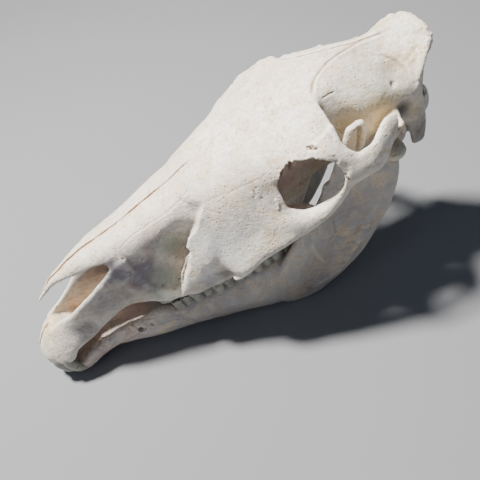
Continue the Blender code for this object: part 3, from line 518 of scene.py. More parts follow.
# Rough places on both sides: centre, reach, grain size, height
ROUGH_PLACES = [
    ((53, 186, 32), 17, 2.6, 0.55),
    ((63.5, 293, 112), 8, 2.4, 0.7),
    ((24, 496, 137), 20, 4.0, 1.3),
    ((32, 478, 136), 20, 3.6, 0.9),
    ((10, 500, 140), 16, 3.0, 0.5),
    ((45, 470, 112), 12, 3.0, 0.5),
    ((68, 320, 124), 8, 2.6, 0.9),
    ((72, 332, 130), 9, 2.6, 1.1),
    ((75, 345, 135), 9, 2.6, 1.1),
    ((80, 356, 134), 9, 2.6, 1.1),
    ((88, 364, 124), 9, 2.6, 1.0),
    ((94, 368, 108), 8, 2.4, 0.9),
    ((44, 466, 74), 13, 3.0, 0.4),
    ((78, 235, 33), 12, 3.0, 0.4),
    ((14, 4, 20), 18, 3.0, 0.25),
]
# Unevenness all over: size and height
CRANIUM_WAVES = [(24, 0.5), (9, 0.26), (4, 0.14), (2.4, 0.08)]
# The cheek plate's front edge, and its step over the hollow before it
PLATE_EDGE = [(41, 247, 116), (42, 238.5, 107), (44, 228, 96), (42, 213, 80), (44, 208, 70),
              (51, 196, 57), (52, 184, 42.5), (51, 178, 26), (54, 186, 15)]
PLATE_STEP = 5.0
PLATE_LIP = 0.6
PLATE_LIP_WIDTH = 10.0
PLATE_HOLLOW = 30.0
PLATE_EDGE_WIDTH = 6.5
PLATE_WOBBLE = 0.5

# The same tables for the lower jaw
JAW_MELTS = [
    ((22, 86, -36), 22, 30),
    ((50, 300, -70), 40, 40),
    ((46, 275, -40), 30, 30),
    ((54, 325, -30), 26, 30),
]
JAW_NUDGES = [
    ((21, 88, -17), 20, (0, 0, -5), -1),
    ((27, 130, -15), 26, (0, 0, 5), -1),
]
JAW_WAVES = [(26, 0.6), (9, 0.28), (4, 0.14), (2.4, 0.08)]
JAW_CREASES = [
    ([(62.7, 320, 6), (60.4, 321, -22), (59, 326, -52)], -0.9, 3.0, 0.0, 0.0),
    ([(56, 300, -84), (60, 330, -76), (63, 352, -58), (66, 372, -34)], -0.8, 2.6, 0.0, 0.0),
    ([(60, 345, -50), (63, 362, -30), (65, 376, -6), (68, 388, 20)], 0.9, 6.0, 0.0, 0.0),
    ([(19, 45, -22), (21, 62, -18), (23, 84, -14), (25, 108, -15), (28, 132, -13)],
     -0.9, 1.4, 0.0, 0.0),
    ([(73, 399, 129), (73.5, 396, 118), (73, 391, 104)], 2.2, 2.4, 0.6, 0.3),
    ([(0, -4, -36), (0, 8, -47), (0, 24, -50), (0, 50, -48)], 0.8, 1.4, 0.2, 0.5),
]
JAW_ROUGH_PLACES = [
    ((14, 20, -28), 24, 3.4, 0.9),
    ((22, 56, -20), 18, 3.4, 1.3),
    ((22, 90, -16), 16, 3.4, 1.1),
    ((50, 300, -98), 26, 4.0, 0.5),
    ((52, 350, -78), 26, 4.0, 0.5),
]
JAW_PITS = [
    ((28.8, 100.5, -23.9), 3.0, 8.0),
    ((31, 104, -24.5), 2.4, 2.0),
    ((32, 116.5, -21), 2.6, 1.6),
    ((72, 404, 88), 5.0, 3.0),
]

# Colour zones on both sides: centre, reach, strength
CRANIUM_ZONES = {
    "plate": [
        ((60, 236, 74), 42, 1.0), ((64, 262, 84), 34, 0.7), ((60, 210, 40), 22, 0.7),
    ],
    # Painted shade: dark plum-grey on the sides of the face and the premaxilla, and under the
    # facial crest.
    "painted_shade": [
        ((29, 100, 48), 58, 0.85), ((33, 150, 62), 46, 1.4), ((30, 56, 18), 36, 0.8),
        ((34, 180, 88), 28, 0.8), ((36, 204, 98), 20, 0.5), ((62, 266, 16), 38, 1.6),
        ((64, 224, 28), 21, 0.9), ((61, 208, 27), 19, 0.8), ((68, 246, 24), 18, 0.9),
        ((29, 132, 80), 36, 1.3),
    ],
    # Green-grey tint, dark enough to also be painted shade, on the sides of the face, below the
    # orbit and in the temporal hollow.
    "green_grey_and_shade": [
        ((37, 196, 76), 28, 1.2), ((38, 170, 42), 27, 0.95), ((42, 150, 26), 20, 0.8),
        ((82, 330, 70), 22, 0.5), ((46, 432, 128), 28, 0.5), ((40, 456, 126), 24, 0.45),
        ((44, 392, 136), 24, 0.35), ((70, 318, 72), 22, 0.7), ((54, 200, 14), 24, 1.0),
        ((38, 430, 133), 42, 0.6),
    ],
    "honey": [
        ((50, 425, 108), 36, 1.0), ((44, 400, 118), 30, 0.6), ((70, 430, 100), 24, 0.7),
        ((45, 464, 90), 16, 1.0), ((32, 474, 136), 26, 0.85), ((95, 390, 108), 26, 0.3),
        ((78, 352, 132), 16, 0.45), ((16, 6, 16), 22, 0.35), ((3, 18, 32), 18, 1.2),
        ((8, 60, 86), 30, 0.35), ((12, 498, 134), 20, 0.5),
    ],
    "blush": [
        ((44, 326, 92), 46, 1.6), ((54, 186, 30), 17, 0.8), ((12, 170, 112), 60, 0.22),
    ],
    # Painted deep shade in recesses at the back of the skull and in the nose.
    "painted_deep_shade": [
        ((2, 17, 33), 7, 0.5), ((43, 466, 50), 38, 1.0), ((30, 484, 62), 18, 0.7),
        ((50, 452, 97), 16, 1.0), ((30, 486, 84), 7, 1.0),
    ],
}
# Rust specks on both sides: centre, reach
CRANIUM_SPECKS = [
    ((34.6, 175, 60), 2.6), ((34, 173, 65), 2.2), ((28.6, 147, 92), 1.6), ((31, 136, 52), 1.8),
    ((33, 128, 48), 1.6), ((36, 152, 44), 1.8), ((38, 160, 36), 1.8), ((29, 126, 58), 1.4),
    ((41, 168, 24), 2.2), ((33, 118, 34), 1.5), ((30, 482, 139), 2.6), ((36, 474, 133), 2.4),
    ((26, 490, 141), 2.2), ((42, 462, 122), 2.4), ((22, 497, 138), 2.2),
]
JAW_ZONES = {
    # Painted shade over the jaw's sides and chin.
    "painted_shade": [
        ((50, 300, -60), 95, 0.4), ((32, 190, -40), 80, 0.6), ((62, 380, 20), 70, 0.3),
        ((10, 10, -46), 26, 0.7),
    ],
    "honey": [
        ((76, 418, 92), 24, 0.8), ((68, 392, 118), 22, 0.7), ((22, 88, -16), 20, 0.5),
    ],
    "blush": [
        ((14, 30, -30), 40, 1.0), ((12, 90, -32), 44, 0.9),
    ],
}
JAW_SPECKS = [
    ((18, 36, -22), 3.0), ((20, 52, -19), 2.6), ((22, 72, -17), 2.4), ((24, 96, -15), 2.2),
    ((30, 128, -14), 2.0), ((33, 150, -17), 2.6), ((15, 12, -30), 3.0),
]

# How enclosed each vertex is sets the painted shade in hollows.
# Rays that look round from a vertex: how many, share of a turn between them, length, start
SIGHT_RAYS = 9
SIGHT_TURN = 0.618034
SIGHT_REACH = 55.0
SIGHT_START = 0.6
SIGHT_ROUNDS = 2
UPRIGHT = 0.8

# What the materials read from the surface: how far it spreads and how strong it is
RAGGED_EDGES = [(12, 6, (21, 22, 23)), (4, 1.5, (24, 25, 26))]
GAP_FAR = 5.0
SPECK_SPREAD = 1.6
CURVE_ROUNDS = 6
HOLLOW_GAIN = 2.4
EDGE_GAIN = 2.0
PIT_STAIN = 1.6

# Colours of bone, stains, painted shade and teeth
BONE_LIGHT = (0.86, 0.81, 0.715)
BONE_DARK = (0.69, 0.62, 0.50)
# The jaw's bone is greyer and darker than the cranium's, partly its own greyer tone and partly
# painted shade.
JAW_PALE_WITH_SHADE = (0.50, 0.475, 0.44)
JAW_DARK_WITH_SHADE = (0.34, 0.325, 0.32)
CREAM_WARM = (0.70, 0.545, 0.35)
CREAM_GREY = (0.48, 0.45, 0.41)
BLEACHED = (0.92, 0.90, 0.86)
DIRT = (0.25, 0.19, 0.14)
# Painted shade in enclosed hollows: warm tan, as of light bounced inside, with darker streaks.
TAN_PAINTED_SHADE = (0.74, 0.54, 0.36)
TAN_PAINTED_SHADE_STREAK = (0.38, 0.23, 0.13)
HALO = (0.62, 0.42, 0.22)
INK = (0.26, 0.11, 0.04)
RUST = (0.34, 0.12, 0.04)
# Teeth are dark grey-green overall, partly their own stained tone and partly painted shade.
ENAMEL_BASE_WITH_SHADE = (0.36, 0.345, 0.29)
ENAMEL_GREY = (0.21, 0.225, 0.205)
ENAMEL_STAIN = (0.15, 0.115, 0.08)
ZONE_TINTS = {
    "plate": (0.70, 0.70, 0.71),
    # Plum-grey: painted shade.
    "painted_shade": (0.17, 0.152, 0.18),
    # Green-grey: partly tint, partly painted shade.
    "green_grey_and_shade": (0.32, 0.36, 0.285),
    "honey": (0.66, 0.52, 0.29),
    "blush": (0.60, 0.455, 0.42),
    # Near black: painted deep shade.
    "painted_deep_shade": (0.10, 0.082, 0.085),
}

# How cracked each bone is, from 0 to 1
BONE_AGE = 0.2
JAW_AGE = 0.8
# Cloudy textures: scale, detail, roughness, distortion
BONE_CLOUDS = {
    "broad": (11.0, 5.0, 0.6),
    "patchy": (55.0, 6.0, 0.65, 0.6),
    "fine": (300.0, 5.0, 0.7),
    "grain": (1500.0, 3.0, 0.6),
}
FIBRE_CLOUD = (1.0, 4.0, 0.65, 0.4)
FIBRE_STRETCH = (420.0, 38.0, 330.0)
PORE_SCALE = 260.0
CRACK_STRETCH = (46.0, 16.0, 34.0)
CRACK_RAGGED = 0.03
# Ranges that a texture is read over: from, to, and the values there where they aren't 0 and 1
DARK_PATCHES = (0.40, 0.60)
BONE_TONES = [
    ("patchy", (0.46, 0.60, 0.0, 0.80), CREAM_WARM),
    ("fibre", (0.47, 0.63, 0.0, 0.45), CREAM_GREY),
    ("fine", (0.48, 0.62, 0.0, 0.70), CREAM_GREY),
]
ZONE_PATCHES = (0.25, 0.6, 0.65, 1.0)
# Where the painted shade in enclosed hollows sets in, how patchy it is, and its darker streaks.
INSIDE_EDGE = (0.45, 0.9)
INSIDE_PATCHES = (0.3, 0.7, 0.7, 1.0)
STREAK_GRAIN = (0.48, 0.60, 0.0, 0.75)
HOLLOW_GRAIN = (0.3, 0.7, 0.4, 0.9)
RUST_GRAIN = (0.40, 0.52)
PORE_EDGE = (0.12, 0.30, 1.0, 0.0)
PORE_PATCHES = (0.44, 0.56)
CRACK_EDGE = (0.018, 0.045, 1.0, 0.0)
CRACK_PATCHES = (0.50, 0.60)
LINE_RAGGED = (0.3, 0.7, -0.05, 0.25)
LINE_EDGE = (0.15, 1.25, 1.0, 0.0)
HALO_EDGE = (0.4, 2.6, 1.0, 0.0)
BONE_GLOSS = (0.3, 0.7, 0.46, 0.62)
# How much of each stain shows, and what it does to the gloss
HOLLOW_SHARE = 0.7
EDGE_SHARE = 0.35
PORE_SHARE = 0.55
CRACK_SHARE = 0.5
HALO_SHARE = 0.35
HOLLOW_GLOSS = 0.25
# Fine relief: weights of its parts, then its depth in metres and its strength
BONE_RELIEF = {"fine": 0.55, "fibre": 0.5, "grain": 0.25, "patchy": 0.9}
PORE_RELIEF = -0.6
CRACK_RELIEF = -0.6
LINE_RELIEF = -1.6
BONE_BUMP = (0.0012, 0.75)

# The same for the teeth
TOOTH_PATCHES = (120.0, 5.0, 0.6)
TOOTH_STREAKS = (1.0, 3.0, 0.6)
TOOTH_STRETCH = (700.0, 700.0, 60.0)
TOOTH_GRAIN = (900.0, 4.0, 0.6)
TOOTH_TONES = [
    ((0.4, 0.65), ENAMEL_GREY),
    ((0.48, 0.70, 0.0, 0.6), ENAMEL_STAIN),
    ((0.62, 0.75, 0.0, 0.5), DIRT),
]
TOOTH_GLOSS = (0.3, 0.7, 0.28, 0.5)
STREAK_RELIEF = 0.8
TOOTH_GRAIN_RELIEF = 0.3
TOOTH_BUMP = (0.0006, 0.5)

# Smooth random values, which depend on the place alone
NOISE_STRIDE = 17.3
NOISE_PRIMES = np.array([73856093, 19349663, 83492791], dtype=np.int64)
NOISE_SHIFTS = (15, 13)
NOISE_MIX = 1274126177
NOISE_MASK = 0x7FFFFFFF
GRAIN_SEED = 5
WAVE_SEED = 9

# How lines, pits and tooth roots are laid on the surface
TRACK_STEPS = 10
TRACK_ROUNDS = 3
TRACK_REACH = 9.0
TRACK_TAPER = 0.12
WOBBLE = 0.6
WOBBLE_SIZE = 4.0
WOBBLE_SEEDS = (1, 2, 3)
RIDGE_OFFSET = 2.2
PIT_RIM = 1.5
PIT_ROUNDNESS = 0.7
ROOT_SPREAD = 0.3
ROOT_SIDE = 26
ROOT_FACING = 0.5
# Levels between which the roots swell, and by how much
UPPER_ROOTS = (10, 34, 1.0)
LOWER_ROOTS = (-52, -20, 0.8)


def smooth_rows(rows, steps):
    """Read a smooth curve through the rows, with so many steps between two of them."""
    rows = np.array(rows, dtype=float)
    flat = rows.reshape(len(rows), -1)
    spans = np.maximum(np.linalg.norm(np.diff(flat, axis=0), axis=1), TINY_SPAN)
    slopes = np.diff(flat, axis=0) / spans[:, None]
    tangents = np.vstack([slopes[:1], slopes[-1:]])
    if len(rows) > 2:
        inner = slopes[:-1] * spans[1:, None] + slopes[1:] * spans[:-1, None]
        inner = inner / (spans[:-1] + spans[1:])[:, None]
        tangents = np.vstack([slopes[:1], inner, slopes[-1:]])
    out = []
    for i, span in enumerate(spans):
        for k in range(steps):
            t = k / steps
            out.append(
                flat[i] * (2 * t**3 - 3 * t**2 + 1)
                + tangents[i] * span * (t**3 - 2 * t**2 + t)
                + flat[i + 1] * (3 * t**2 - 2 * t**3)
                + tangents[i + 1] * span * (t**3 - t**2)
            )
    out.append(flat[-1])
    return np.array(out).reshape(-1, *rows.shape[1:])


def mesh_from_rings(rings):
    """Skin a row of closed rings and cap both ends."""
    shape = bmesh.new()
    loops = [[shape.verts.new(Vector(point) * MM) for point in ring] for ring in rings]
    count = len(loops[0])
    for low, high in zip(loops, loops[1:]):
        for i in range(count):
            j = (i + 1) % count
            shape.faces.new((low[i], low[j], high[j], high[i]))
    shape.faces.new(list(reversed(loops[0])))
    shape.faces.new(loops[-1])
    bmesh.ops.recalc_face_normals(shape, faces=shape.faces)
    if shape.calc_volume(signed=True) < 0:
        bmesh.ops.reverse_faces(shape, faces=shape.faces)
    return made_mesh(shape, "form")


def made_mesh(shape, name):
    mesh = bpy.data.meshes.new(name)
    shape.to_mesh(mesh)
    shape.free()
    return mesh


def loft(stations):
    """A form with a left and a right half, from half outlines at places along the skull."""
    rows = [[(x, place, z) for x, z in outline] for place, outline in stations]
    rings = []
    for row in smooth_rows(rows, SPAN_STEPS):
        half = smooth_rows(row, SPAN_STEPS)
        half[:, 0] = np.maximum(half[:, 0], 0.0)
        half[0, 0] = 0.0
        half[-1, 0] = 0.0
        mirrored = half[-2:0:-1] * (-1, 1, 1)
        rings.append(np.vstack([half, mirrored]))
    return mesh_from_rings(rings)


def blade(stations, side=1):
    """A bone plate that runs between two edges, with rounded edges of their own thickness."""
    rows = smooth_rows([[*one, *two, *thick] for one, two, thick in stations], SPAN_STEPS)
    places = (rows[:, 0:3] + rows[:, 3:6]) / 2
    rings = []
    for row, path in zip(rows, np.gradient(places, axis=0)):
        one, two, (first, middle, last) = row[0:3], row[3:6], row[6:9]
        width = np.linalg.norm(two - one)
        across = (two - one) / width
        out = np.cross(across, path)
        out = out / np.linalg.norm(out)
        edge = [(first * along, first * off) for along, off in BLADE_EDGE]
        edge += [(width / 2, middle)]
        edge += [(width - last * along, last * off) for along, off in reversed(BLADE_EDGE)]
        edge = smooth_rows(edge, EDGE_STEPS).tolist()
        back = [(place, -half) for place, half in edge[-2:0:-1]]
        ring = [one + across * place + out * half for place, half in edge + back]
        rings.append(np.array(ring) * (side, 1, 1))
    return mesh_from_rings(rings)


def blob(shape, side=1):
    """A rounded lump: a sphere stretched to three radii and turned."""
    (x, y, z), radii, (pitch, yaw) = shape
    form = bmesh.new()
    bmesh.ops.create_uvsphere(
        form, u_segments=BLOB_SEGMENTS, v_segments=BLOB_SEGMENTS // 2, radius=MM
    )
    bmesh.ops.scale(form, vec=radii, verts=form.verts)
    for angle, axis in ((pitch, "X"), (yaw * side, "Z")):
        turn = Matrix.Rotation(math.radians(angle), 3, axis)
        bmesh.ops.rotate(form, matrix=turn, verts=form.verts)
    bmesh.ops.translate(form, vec=Vector((x * side, y, z)) * MM, verts=form.verts)
    return made_mesh(form, "form")


def both_sides(maker, shape):
    return [maker(shape, side) for side in BOTH_SIDES]


def joined(name, meshes):
    """One object from several closed forms that run into each other."""
    whole = bmesh.new()
    for mesh in meshes:
        whole.from_mesh(mesh)
        bpy.data.meshes.remove(mesh)
    thing = bpy.data.objects.new(name, made_mesh(whole, name))
    bpy.context.scene.collection.objects.link(thing)
    return thing


def settle(thing):
    """Put the result of the object's modifiers into its mesh."""
    graph = bpy.context.evaluated_depsgraph_get()
    result = bpy.data.meshes.new_from_object(thing.evaluated_get(graph))
    thing.modifiers.clear()
    thing.data = result


def fuse(thing, rounds):
    """Grow the forms together into one skin and soften it."""
    remesh = thing.modifiers.new("fuse", "REMESH")
    remesh.mode = "VOXEL"
    remesh.voxel_size = VOXEL * MM
    soften = thing.modifiers.new("soften", "SMOOTH")
    soften.factor = SMOOTH_FACTOR
    soften.iterations = rounds
    settle(thing)


def cut(thing, cutter, name):
    """Cut a closed mesh out of an object."""
    tool = joined(name, [cutter])
    boolean = thing.modifiers.new("cut", "BOOLEAN")
    boolean.operation = "DIFFERENCE"
    boolean.solver = "MANIFOLD"
    boolean.object = tool
    settle(thing)
    bpy.data.objects.remove(tool, do_unlink=True)


def thin_out(thing, triangles):
    """Bring the mesh down to so many triangles."""
    count = sum(len(face.vertices) - 2 for face in thing.data.polygons)
    fewer = thing.modifiers.new("fewer", "DECIMATE")
    fewer.ratio = min(1.0, triangles / count)
    fewer.use_collapse_triangulate = True
    settle(thing)


def eased(part):
    """A share from 0 to 1 with a smooth start and end."""
    return part * part * (3 - 2 * part)


def noise(points, size, seed=0):
    """Smooth random values from -1 to 1 that change over about the given size in millimetres."""
    cell = points / size + seed * NOISE_STRIDE
    base = np.floor(cell).astype(np.int64)
    part = eased(cell - base)
    total = np.zeros(len(points))
    for corner in np.ndindex(2, 2, 2):
        key = (base + corner) @ NOISE_PRIMES
        for shift in NOISE_SHIFTS:
            key = ((key ^ (key >> shift)) * NOISE_MIX) & NOISE_MASK
        value = key / NOISE_MASK * 2 - 1
        total += value * np.prod(np.where(corner, part, 1 - part), axis=1)
    return total


def jitter(points, size, seeds):
    """Three smooth random values for each point."""
    return np.column_stack([noise(points, size, seed) for seed in seeds])


def read_mesh(mesh):
    """Points and normals in millimetres, and the edges."""
    points = np.empty(len(mesh.vertices) * 3)
    mesh.vertices.foreach_get("co", points)
    normals = np.empty(len(mesh.vertices) * 3)
    mesh.vertex_normals.foreach_get("vector", normals)
    edges = np.empty(len(mesh.edges) * 2, dtype=np.int64)
    mesh.edges.foreach_get("vertices", edges)
    return points.reshape(-1, 3) / MM, normals.reshape(-1, 3), edges.reshape(-1, 2)


def write_points(mesh, points):
    mesh.vertices.foreach_set("co", (points * MM).ravel())
    mesh.update()


def refresh(mesh, points):
    """Write the points and read the new normals."""
    write_points(mesh, points)
    return read_mesh(mesh)


def even_out(values, edges, rounds):
    """Average each vertex's values with its neighbours' so many times."""
    count = len(values)
    degree = np.bincount(edges.ravel(), minlength=count).clip(1)
    values = values.reshape(count, -1).astype(float)
    for _ in range(rounds):
        for column in range(values.shape[1]):
            line = values[:, column]
            near = np.bincount(edges[:, 0], line[edges[:, 1]], count)
            near += np.bincount(edges[:, 1], line[edges[:, 0]], count)
            values[:, column] = (line + near / degree) / 2
    return values


def fade(distance, reach):
    """1 at the centre, falling smoothly to 0 at the reach."""
    return eased(np.clip(1 - distance / reach, 0, 1))


def fade_past(distance, reach):
    """1 up to the start, then falling smoothly to 0 at the reach beyond it."""
    return fade(np.clip(distance, 0, None), reach)


def both(points):
    """The points as seen from the left side, so that one table serves both sides."""
    return np.column_stack([np.abs(points[:, 0]), points[:, 1:]])


def reach_of(points, centre, reach):
    return fade(np.linalg.norm(points - np.array(centre), axis=1), reach)


def melt(points, edges, table):
    """Smooth away the creases where forms meet."""
    for centre, reach, rounds in table:
        share = reach_of(both(points), centre, reach)[:, None]
        near = np.flatnonzero(share[edges[:, 0], 0] + share[edges[:, 1], 0] > 0)
        used, inner = np.unique(edges[near], return_inverse=True)
        calm = even_out(points[used], inner.reshape(-1, 2), rounds)
        points[used] += (calm - points[used]) * share[used]
    return points


def nudge(points, table):
    """Push soft regions of the surface aside."""
    for centre, reach, move, side in table:
        share = reach_of(both(points), centre, reach)
        if side:
            share = share * (np.sign(points[:, 0]) == side)
        shift = share[:, None] * np.array(move, dtype=float)
        shift[:, 0] *= np.where(points[:, 0] < 0, -1, 1)
        points += shift
    return points


def lay_track(points, path, side, wobble, reach=TRACK_REACH):
    """A path laid onto the surface, a little wavy. Also the vertices near it."""
    track = smooth_rows(np.array(path, dtype=float) * (side, 1, 1), TRACK_STEPS)
    low = track.min(axis=0) - reach
    high = track.max(axis=0) + reach
    near = np.flatnonzero(np.all((points > low) & (points < high), axis=1))
    if len(near) == 0:
        return track, near
    patch = points[near]
    gaps = np.linalg.norm(track[:, None, :] - patch[None, :, :], axis=2)
    track = patch[gaps.argmin(axis=1)]
    for _ in range(TRACK_ROUNDS):
        inner = (track[:-2] + 2 * track[1:-1] + track[2:]) / 4
        track = np.vstack([track[:1], inner, track[-1:]])
    return track + jitter(track, WOBBLE_SIZE, WOBBLE_SEEDS) * wobble, near


def beside_track(points, normals, track):
    """Signed distance of each vertex from the track, and a fade towards its two ends."""
    starts, steps = track[:-1], np.diff(track, axis=0)
    lengths = (steps**2).sum(axis=1).clip(TINY)
    offset = points[:, None, :] - starts[None, :, :]
    share = np.clip((offset * steps).sum(axis=2) / lengths, 0, 1)
    miss = offset - share[:, :, None] * steps
    away = np.linalg.norm(miss, axis=2)
    best = away.argmin(axis=1)
    rows = np.arange(len(points))
    turn = np.cross(steps[best], miss[rows, best])
    sign = np.where((turn * normals).sum(axis=1) < 0, -1.0, 1.0)
    place = (best + share[rows, best]) / len(steps)
    ends = np.clip(np.minimum(place, 1 - place) / TRACK_TAPER, 0, 1)
    return away[rows, best] * sign, ends


def each_line(points, normals, table, sides):
    """Every line of the table on each side: nearby vertices, distance, end fade and its row."""
    for path, *rest in table:
        for side in sides:
            track, near = lay_track(points, path, side, WOBBLE)
            if len(near):
                gap, ends = beside_track(points[near], normals[near], track)
                yield near, gap, ends, rest


def crease(points, normals, table, sides=BOTH_SIDES):
    """Sink each line into the bone, with a low ridge along one side of it."""
    for near, gap, ends, (depth, width, ridge, _) in each_line(points, normals, table, sides):
        lift = ridge * np.exp(-(((gap - RIDGE_OFFSET * width) / width) ** 2))
        sink = depth * np.exp(-((gap / width) ** 2))
        points[near] += normals[near] * ((lift - sink) * ends)[:, None]
    return points


def drill(points, normals, table):
    """Sink small holes, on both sides."""
    for centre, reach, depth in table:
        for side in BOTH_SIDES:
            place = np.array(centre, dtype=float) * (side, 1, 1)
            mouth = np.linalg.norm(points - place, axis=1).argmin()
            share = reach_of(points, points[mouth], reach * PIT_RIM) ** PIT_ROUNDNESS
            points -= normals[mouth] * (share * depth)[:, None]
    return points


def roughen(points, normals, table):
    """Break up the surface in places: centre, reach, size and height of the grain."""
    folded = both(points)
    for centre, reach, size, height in table:
        grain = noise(points, size, GRAIN_SEED) + noise(points, size / 2, GRAIN_SEED + 1) / 2
        lift = reach_of(folded, centre, reach) * height * grain
        points += normals * lift[:, None]
    return points


def undulate(points, normals, waves):
    """Slight unevenness all over, so that no form looks machined."""
    for size, height in waves:
        points += normals * (noise(points, size, WAVE_SEED) * height)[:, None]
    return points


def hold_inside(points):
    """Keep the piece inside the frame's box."""
    turn = np.array(STAND.to_3x3())
    shift = np.array(STAND.translation) / MM
    stood = points @ turn.T + shift
    low, high = (np.array(corner) / MM for corner in frame_box)
    stood = np.clip(stood, low, high)
    return (stood - shift) @ turn


def stand_out_plate(points, normals):
    """The sharp front edge of the cheek plate, with the hollow of the upper jaw before it."""
    for side in BOTH_SIDES:
        track, near = lay_track(points, PLATE_EDGE, side, PLATE_WOBBLE, PLATE_HOLLOW)
        near = near[normals[near, 0] * side > 0]
        gap, ends = beside_track(points[near], normals[near], track)
        ahead = -gap * side
        hollow = PLATE_STEP * fade_past(ahead, PLATE_HOLLOW)
        raised = -PLATE_LIP * fade_past(-ahead, PLATE_LIP_WIDTH)
        blend_in = fade_past(PLATE_EDGE_WIDTH / 2 - ahead, PLATE_EDGE_WIDTH)
        sink = (hollow * blend_in + raised * (1 - blend_in)) * ends
        points[near] -= normals[near] * sink[:, None]
    return points


def root_swells(points, normals, rows, low, high, height):
    """The roots of the cheek teeth swell through the bone beside them."""
    swell = np.zeros(len(points))
    for _, front, length, *_ in rows:
        middle = front + length / 2
        swell += np.exp(-(((points[:, 1] - middle) / (length * ROOT_SPREAD)) ** 2))
    level = np.clip((points[:, 2] - low) / (high - low), 0, 1)
    beside = (np.abs(points[:, 0]) > ROOT_SIDE) * (np.abs(normals[:, 0]) > ROOT_FACING)
    level = np.sin(np.pi * level) * beside
    return points + normals * (swell * level * height)[:, None]


def sculpt_cranium(thing):
    mesh = thing.data
    points, normals, edges = read_mesh(mesh)
    points = nudge(melt(points, edges, MELTS), NUDGES)
    points, normals, edges = refresh(mesh, points)
    points = stand_out_plate(points, normals)
    points, normals, edges = refresh(mesh, points)
    points = root_swells(points, normals, UPPER_CHEEK_TEETH, *UPPER_ROOTS)
    points = undulate(points, normals, CRANIUM_WAVES)
    points = crease(points, normals, MIDLINES, MIDDLE)
    points = crease(points, normals, CREASES)
    points, normals, edges = refresh(mesh, points)
    points = roughen(points, normals, ROUGH_PLACES)
    points = drill(points, normals, PITS)
    points = melt(points, edges, LAST_MELTS)
    write_points(mesh, hold_inside(points))


def sculpt_jaw(thing):
    mesh = thing.data
    points, normals, edges = read_mesh(mesh)
    points = nudge(melt(points, edges, JAW_MELTS), JAW_NUDGES)
    points, normals, edges = refresh(mesh, points)
    points = root_swells(points, normals, LOWER_CHEEK_TEETH, *LOWER_ROOTS)
    points = undulate(points, normals, JAW_WAVES)
    points = crease(points, normals, JAW_CREASES)
    points = roughen(points, normals, JAW_ROUGH_PLACES)
    points = drill(points, normals, JAW_PITS)
    write_points(mesh, hold_inside(points))


def cranium():
    forms = [loft(stations) for stations in (FACE, CORE, BROW, SNOUT, NASALS)]
    forms.append(blade(VOMER))
    for stations in (PREMAXILLA, PALATE_SHELF, CHEEK_PLATE, FACIAL_CREST, ARCH, ARCH_ROOT,
                     POST_GLENOID, EYE_BAR, PTERYGOID, SIDE_CREST, NECK_PROCESS):
        forms += both_sides(blade, stations)
    for shape in (CONDYLES, TOOTH_BULGE, EYE_FLOOR, EAR_BONES):
        forms += both_sides(blob, shape)
    thing = joined("skull_cranium", forms)
    fuse(thing, FUSE_ROUNDS)
    holes = [loft(NOSE_PASSAGE), loft(CHOANA), loft(BRAIN_HOLE), *both_sides(blob, ORBIT)]
    for number, hole in enumerate(holes):
        cut(thing, hole, f"hole_{number}")
    fuse(thing, CUT_ROUNDS)
    sculpt_cranium(thing)
    thin_out(thing, CRANIUM_TRIANGLES)
    return thing


def lower_jaw():
    forms = [loft(CHIN)]
    for stations in (JAW_BODY, RAMUS, CORONOID, JAW_CONDYLE, JAW_NECK):
        forms += both_sides(blade, stations)
    thing = joined("skull_lower_jaw", forms)
    fuse(thing, FUSE_ROUNDS)
    sculpt_jaw(thing)
    thin_out(thing, JAW_TRIANGLES)
    return thing


def closed_curve(outline, steps):
    """A smooth closed outline through the points."""
    curve = smooth_rows([*outline[-2:], *outline, *outline[:2]], steps)
    return curve[2 * steps:(2 + len(outline)) * steps]


def cheek_tooth_rings(row, outline, side, above):
    """Rings of a cheek tooth, from the chewing face's hollow to the end of its root."""
    _, front, length, middle, width, narrow_front, narrow_rear = row
    length -= NEIGHBOUR_GAP
    rings = []
    for height, size in TOOTH_LEVELS:
        ring = []
        for along, across in closed_curve(outline, OUTLINE_STEPS):
            narrow = narrow_front + (narrow_rear - narrow_front) * (along + 0.5)
            x = middle + across * width * narrow * size
            y = front + length / 2 + along * length * size
            notch = abs(math.cos(math.pi * CUSPS * (along + 0.5)))
            worn = CUSP_HEIGHT * notch * max(0.0, across * 2) * (height < CHEEK_CROWN / 2)
            ring.append((side * x, y, above * (height + worn)))
        rings.append(ring)
    return rings


def incisor_rings(angle, width, levels, side):
    """Rings of an incisor, which leans back into the jaw as it goes in."""
    turn = math.radians(angle)
    out_x, out_y = math.sin(turn), -math.cos(turn)
    above = math.copysign(1.0, levels[-1][0])
    rings = []
    for place, (height, back, size) in enumerate(smooth_rows(levels, INCISOR_STEPS)):
        gap = BITE_GAP if place == 0 else 0.0
        middle_x = ARCADE_HALF_WIDTH * out_x - back * out_x * INCISOR_LEAN
        middle_y = ARCADE_CENTRE + ARCADE_DEPTH * out_y + back
        ring = []
        for k in range(INCISOR_SIDES):
            spin = 2 * math.pi * k / INCISOR_SIDES
            across = math.cos(spin) * width * size / 2
            out = math.sin(spin) * INCISOR_THICKNESS * size / 2
            x = middle_x - across * out_y + out * out_x
            y = middle_y + across * out_x + out * out_y
            ring.append((side * x, y, INCISOR_BITE + height + above * gap))
        rings.append(ring)
    return rings


def teeth(jaw, cheek_rows, outline, incisor_levels, above):
    """Make the teeth of one jaw, each under the name of the frame's node."""
    things = []
    for side, side_name in zip(BOTH_SIDES, ("left", "right")):
        made = [(row[0], cheek_tooth_rings(row, outline, side, above)) for row in cheek_rows]
        for tooth, angle, width in INCISORS:
            made.append((tooth, incisor_rings(angle, width, incisor_levels, side)))
        for tooth, rings in made:
            things.append(joined(f"tooth_{jaw}_{side_name}_{tooth}", [mesh_from_rings(rings)]))
    return things


